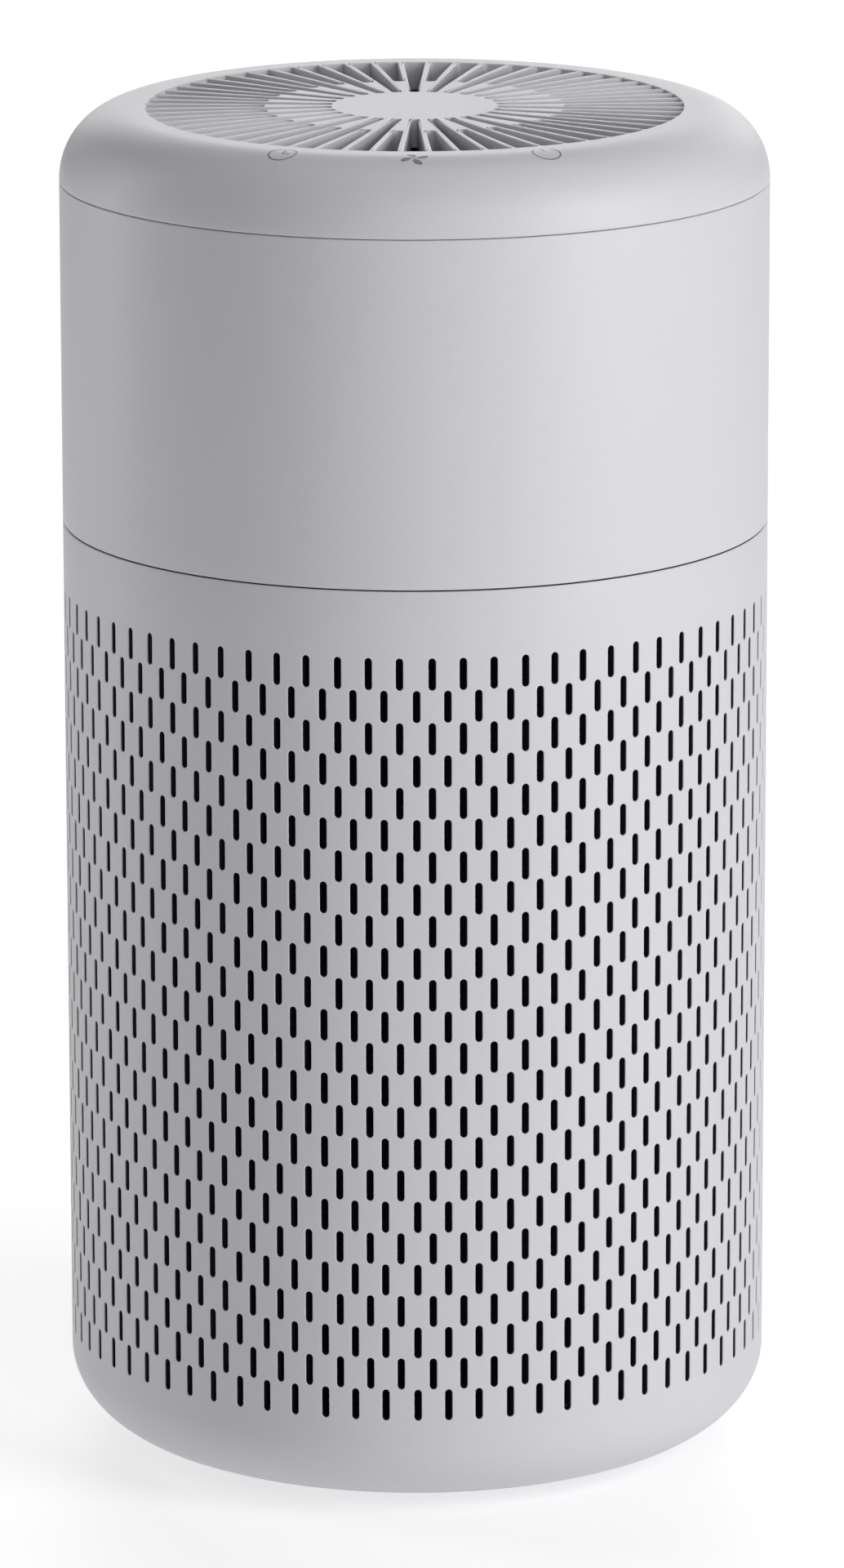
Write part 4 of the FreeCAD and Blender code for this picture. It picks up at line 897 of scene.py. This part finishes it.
# Strokes of the two round marks, from end to end, as shares of the mark's radius.
STROKES = {
    "mark_power": [((0, 0.25), (0, 1.05))],
    "mark_timer": [((0, -0.06), (0, 0.6)), ((-0.06, 0), (0.5, 0))],
}


def drape(points, sizes, lift):
    """Flat (x, y) points set on the cover's top, raised by lift."""
    height = crown_height(np.hypot(points[..., 0], points[..., 1]), sizes) + lift
    return np.concatenate([points, height[..., None]], axis=-1)


def ribbon(skin, line, widths, place_on, sizes):
    """A thin closed strip: each point of the line moved half its width to both sides along the
    line's normal, as a top face, a bottom face, the edges between them and a cap at each end."""
    along = np.gradient(line, axis=0)
    along /= np.linalg.norm(along, axis=1)[:, None]
    normal = np.stack([-along[:, 1], along[:, 0]], axis=-1) * (widths / 2)[:, None]
    left, right = place_on(line + normal), place_on(line - normal)
    loop = np.stack([drape(right, sizes, MARK_LIFT), drape(left, sizes, MARK_LIFT),
                     drape(left, sizes, -MARK_SINK), drape(right, sizes, -MARK_SINK),
                     drape(right, sizes, MARK_LIFT)])
    skin.grid(loop.transpose(1, 0, 2), True)
    for end, flip in ((0, False), (-1, True)):
        cap = loop[:4, end]
        skin.grid(np.stack([[cap[0], cap[1]], [cap[3], cap[2]]]), flip)


class PURIFIER_OT_marks(bpy.types.Operator):
    """Timer, fan and power marks etched on the cover's front"""

    bl_idname = "purifier.marks"
    bl_label = "Touch marks"

    def execute(self, context):
        sizes = context.scene.purifier_sizes
        material = mark_finish()
        size = sizes.mark_radius
        line = sizes.mark_line
        # A mark's own axes: v points to the grille's centre, u to the right of it.
        turns = {"mark_timer": -sizes.mark_angle, "mark_fan": 0, "mark_power": sizes.mark_angle}
        for name, turn in turns.items():
            heading = FRONT + turn
            outward = np.array([math.cos(heading), math.sin(heading)])
            across = np.array([-outward[1], outward[0]])

            def place_on(points):
                return outward * sizes.mark_ring + points[:, :1] * across - points[:, 1:] * outward

            skin = Skin()
            if name == "mark_fan":
                share = np.linspace(0, 1, 14)
                for blade in range(FAN_BLADES):
                    bend = 2 * math.pi * blade / FAN_BLADES + share * 0.55
                    reach = size * (0.1 + 0.9 * share)
                    path = np.stack([reach * np.cos(bend), reach * np.sin(bend)], axis=-1)
                    width = size * (0.06 + 0.42 * np.sin(np.pi * share**1.3) ** 0.8)
                    ribbon(skin, path, width, place_on, sizes)
            else:
                gap = POWER_GAP if name == "mark_power" else 0
                bend = np.radians(np.linspace(90 + gap, 450 - gap, 49))
                path = (size - line / 2) * np.stack([np.cos(bend), np.sin(bend)], axis=-1)
                ribbon(skin, path, np.full(len(path), line), place_on, sizes)
                for start, end in STROKES[name]:
                    path = np.linspace(start, end, 5) * size
                    ribbon(skin, path, np.full(len(path), line), place_on, sizes)
            place(name, skin.mesh(name), material, "housing", "shell_plastic")
        return {"FINISHED"}


# ---------------------------------------------------------------- frame nodes
class PURIFIER_OT_inner_parts(bpy.types.Operator):
    """Finishes of the parts that show as the frame made them"""

    bl_idname = "purifier.inner_parts"
    bl_label = "Inner parts and door"

    def execute(self, context):
        colours = context.scene.purifier_finish
        screws = metal("zinc_screw", (0.55, 0.55, 0.56))
        board = circuit()
        dark = moulded("case_plastic", colours.inner)
        cap = moulded("cap_plastic", (0.62, 0.62, 0.60), 0.45)
        pad = foam("contact_foam", (0.06, 0.06, 0.065))
        cable = rubber("cable_sleeve", (0.015, 0.015, 0.015))
        finishes = {
            "base_door": shell_finish(),
            "door_pads": rubber("pad_rubber", colours.rubber),
            "fan_shroud": dark,
            "inlet_ring": dark,
            "inlet_guard": dark,
            "impeller": moulded("impeller_plastic", colours.impeller, 0.4),
            "outlet_seal": foam("seal_foam", (0.02, 0.02, 0.02)),
            "filter_gasket": foam("gasket_foam", (0.05, 0.05, 0.05)),
            "deck_screws": screws,
            "driver_screws": screws,
            "control_board_screws": screws,
            "rotor_bell": metal("drawn_steel", (0.42, 0.42, 0.43), 0.35),
            "rotor_magnets": moulded("magnet_ferrite", (0.035, 0.035, 0.038), 0.6),
            "motor_shaft": metal("ground_shaft", (0.62, 0.62, 0.63), 0.2),
            "shaft_clip": metal("spring_steel", (0.2, 0.2, 0.22), 0.35),
            "motor_bearings": metal("bearing_steel", (0.66, 0.66, 0.67), 0.18),
            "stator_core": metal("laminations", (0.25, 0.25, 0.26), 0.45, (1, 1, 30), 90, 0.00002),
            "stator_windings": windings(),
            "driver_board": board,
            "control_board": board,
            "power_board": board,
            "touch_pad_timer": pad,
            "touch_pad_speed": pad,
            "touch_pad_power": pad,
            "power_socket": moulded("socket_plastic", (0.014, 0.014, 0.015), 0.35, 900),
            "power_capacitors": moulded("capacitor_sleeve", (0.02, 0.03, 0.07), 0.25, 400, 0.00001),
            "motor_cable": cable,
            "control_cable": cable,
            "filter_bottom_cap": cap,
            "filter_top_cap": cap,
            "prefilter_mesh": woven("mesh_fabric", colours.mesh),
            "carbon_layer": carbon_fabric(),
            "filter_media": paper("filter_paper", colours.paper),
            "filter_pull_tab": woven("tab_webbing", (0.06, 0.065, 0.075), 1.2 * MM),
        }
        for node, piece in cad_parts.items():
            if node in finishes:
                piece.data.materials.clear()
                piece.data.materials.append(finishes[node])
        return {"FINISHED"}


# ---------------------------------------------------------------- studio
# Soft lights: name, place, aimed at this height on the axis, width, height, power in watts.
LIGHTS = (
    ("key_right", (1.6, -1.0, 0.9), 0.2, 1.0, 1.4, 31.9),
    ("top_soft", (0.2, 0.2, 1.7), 0.386, 1.2, 1.2, 5.9),
    ("left_edge", (-1.6, 0.6, 0.7), 0.2, 0.5, 1.4, 10.9),
    ("front_fill", (0.3, -2.2, 1.4), 0.2, 1.0, 1.0, 12.0),
    ("back_wall", (0.25, 3.5, 1.35), 0.386, 3.4, 1.7, 55.0),
)
SKY_LIGHT = 0.02
SKY_LOOK = 0.7
FLOOR_GLOW = 0.57
FLOOR_REACH = 4
LENS = 205.9
CAMERA_PLACE = (0, -2.490, 0.8023)
CAMERA_PITCH = math.radians(13.82)
CAMERA_YAW = math.radians(0.04)
CAMERA_ROLL = math.radians(-0.118)


def soft_light(name, place_at, aim, width, height, power):
    """A rectangular soft light aimed at a point on the object's axis."""
    data = bpy.data.lights.new(name, "AREA")
    data.shape = "RECTANGLE"
    data.size = width
    data.size_y = height
    data.energy = power
    lamp = bpy.data.objects.new(name, data)
    lamp.location = place_at
    lamp.rotation_euler = (Vector((0, 0, aim)) - Vector(place_at)).to_track_quat("-Z", "Y").to_euler()
    bpy.context.scene.collection.objects.link(lamp)


class PURIFIER_OT_studio(bpy.types.Operator):
    """Floor, soft lights, sky and camera"""

    bl_idname = "purifier.studio"
    bl_label = "Studio"

    def execute(self, context):
        scene = context.scene
        floor = Skin()
        reach = np.linspace(-FLOOR_REACH, FLOOR_REACH, 9)
        x, y = np.meshgrid(reach, reach)
        floor.grid(np.stack([x, y, np.zeros_like(x)], axis=-1))
        mesh = floor.mesh("floor")
        ground = bpy.data.objects.new("floor", mesh)
        mesh.materials.append(floor_finish())
        scene.collection.objects.link(ground)

        sky = bpy.data.worlds.new("studio_sky")
        sky.use_nodes = True
        back = next(item for item in sky.node_tree.nodes if item.type == "BACKGROUND")
        back.inputs["Color"].default_value = (1, 1, 1, 1)
        # The sky looks pale to the camera, and lights the scene only a little.
        seen = sky.node_tree.nodes.new("ShaderNodeLightPath")
        strength = sky.node_tree.nodes.new("ShaderNodeMapRange")
        strength.inputs["To Min"].default_value = SKY_LIGHT
        strength.inputs["To Max"].default_value = SKY_LOOK
        sky.node_tree.links.new(seen.outputs["Is Camera Ray"], strength.inputs["Value"])
        sky.node_tree.links.new(strength.outputs["Result"], back.inputs["Strength"])
        scene.world = sky
        for light in LIGHTS:
            soft_light(*light)
        scene.view_settings.view_transform = "Standard"

        lens = bpy.data.cameras.new("camera")
        lens.sensor_width = 36
        lens.lens = LENS
        lens.clip_end = 50
        camera = bpy.data.objects.new("camera", lens)
        scene.collection.objects.link(camera)
        aim = Matrix.Rotation(-CAMERA_YAW, 4, "Z") @ Matrix.Rotation(math.pi / 2 - CAMERA_PITCH, 4, "X")
        rolled = aim @ Matrix.Rotation(CAMERA_ROLL, 4, "Z")
        camera.matrix_world = Matrix.Translation(CAMERA_PLACE) @ rolled
        scene.camera = camera
        return {"FINISHED"}


class PURIFIER_PT_panel(bpy.types.Panel):
    """Lists the builders of the purifier"""

    bl_label = "Purifier"
    bl_space_type = "VIEW_3D"
    bl_region_type = "UI"
    bl_category = "Purifier"

    def draw(self, context):
        for operator in OPERATORS:
            self.layout.operator(operator.bl_idname)


OPERATORS = (
    PURIFIER_OT_studio,
    PURIFIER_OT_sleeve,
    PURIFIER_OT_housing,
    PURIFIER_OT_cover,
    PURIFIER_OT_marks,
    PURIFIER_OT_inner_parts,
)
GROUPS = (PurifierSizes, PurifierFinish)


def register():
    for item in (*GROUPS, *OPERATORS, PURIFIER_PT_panel):
        bpy.utils.register_class(item)
    bpy.types.Scene.purifier_sizes = PointerProperty(type=PurifierSizes)
    bpy.types.Scene.purifier_finish = PointerProperty(type=PurifierFinish)


def unregister():
    del bpy.types.Scene.purifier_finish
    del bpy.types.Scene.purifier_sizes
    for item in reversed((*GROUPS, *OPERATORS, PURIFIER_PT_panel)):
        bpy.utils.unregister_class(item)


def main():
    """Builds every piece in order."""
    register()
    for operator in OPERATORS:
        group, name = operator.bl_idname.split(".")
        getattr(getattr(bpy.ops, group), name)()


if __name__ == "__main__":
    main()
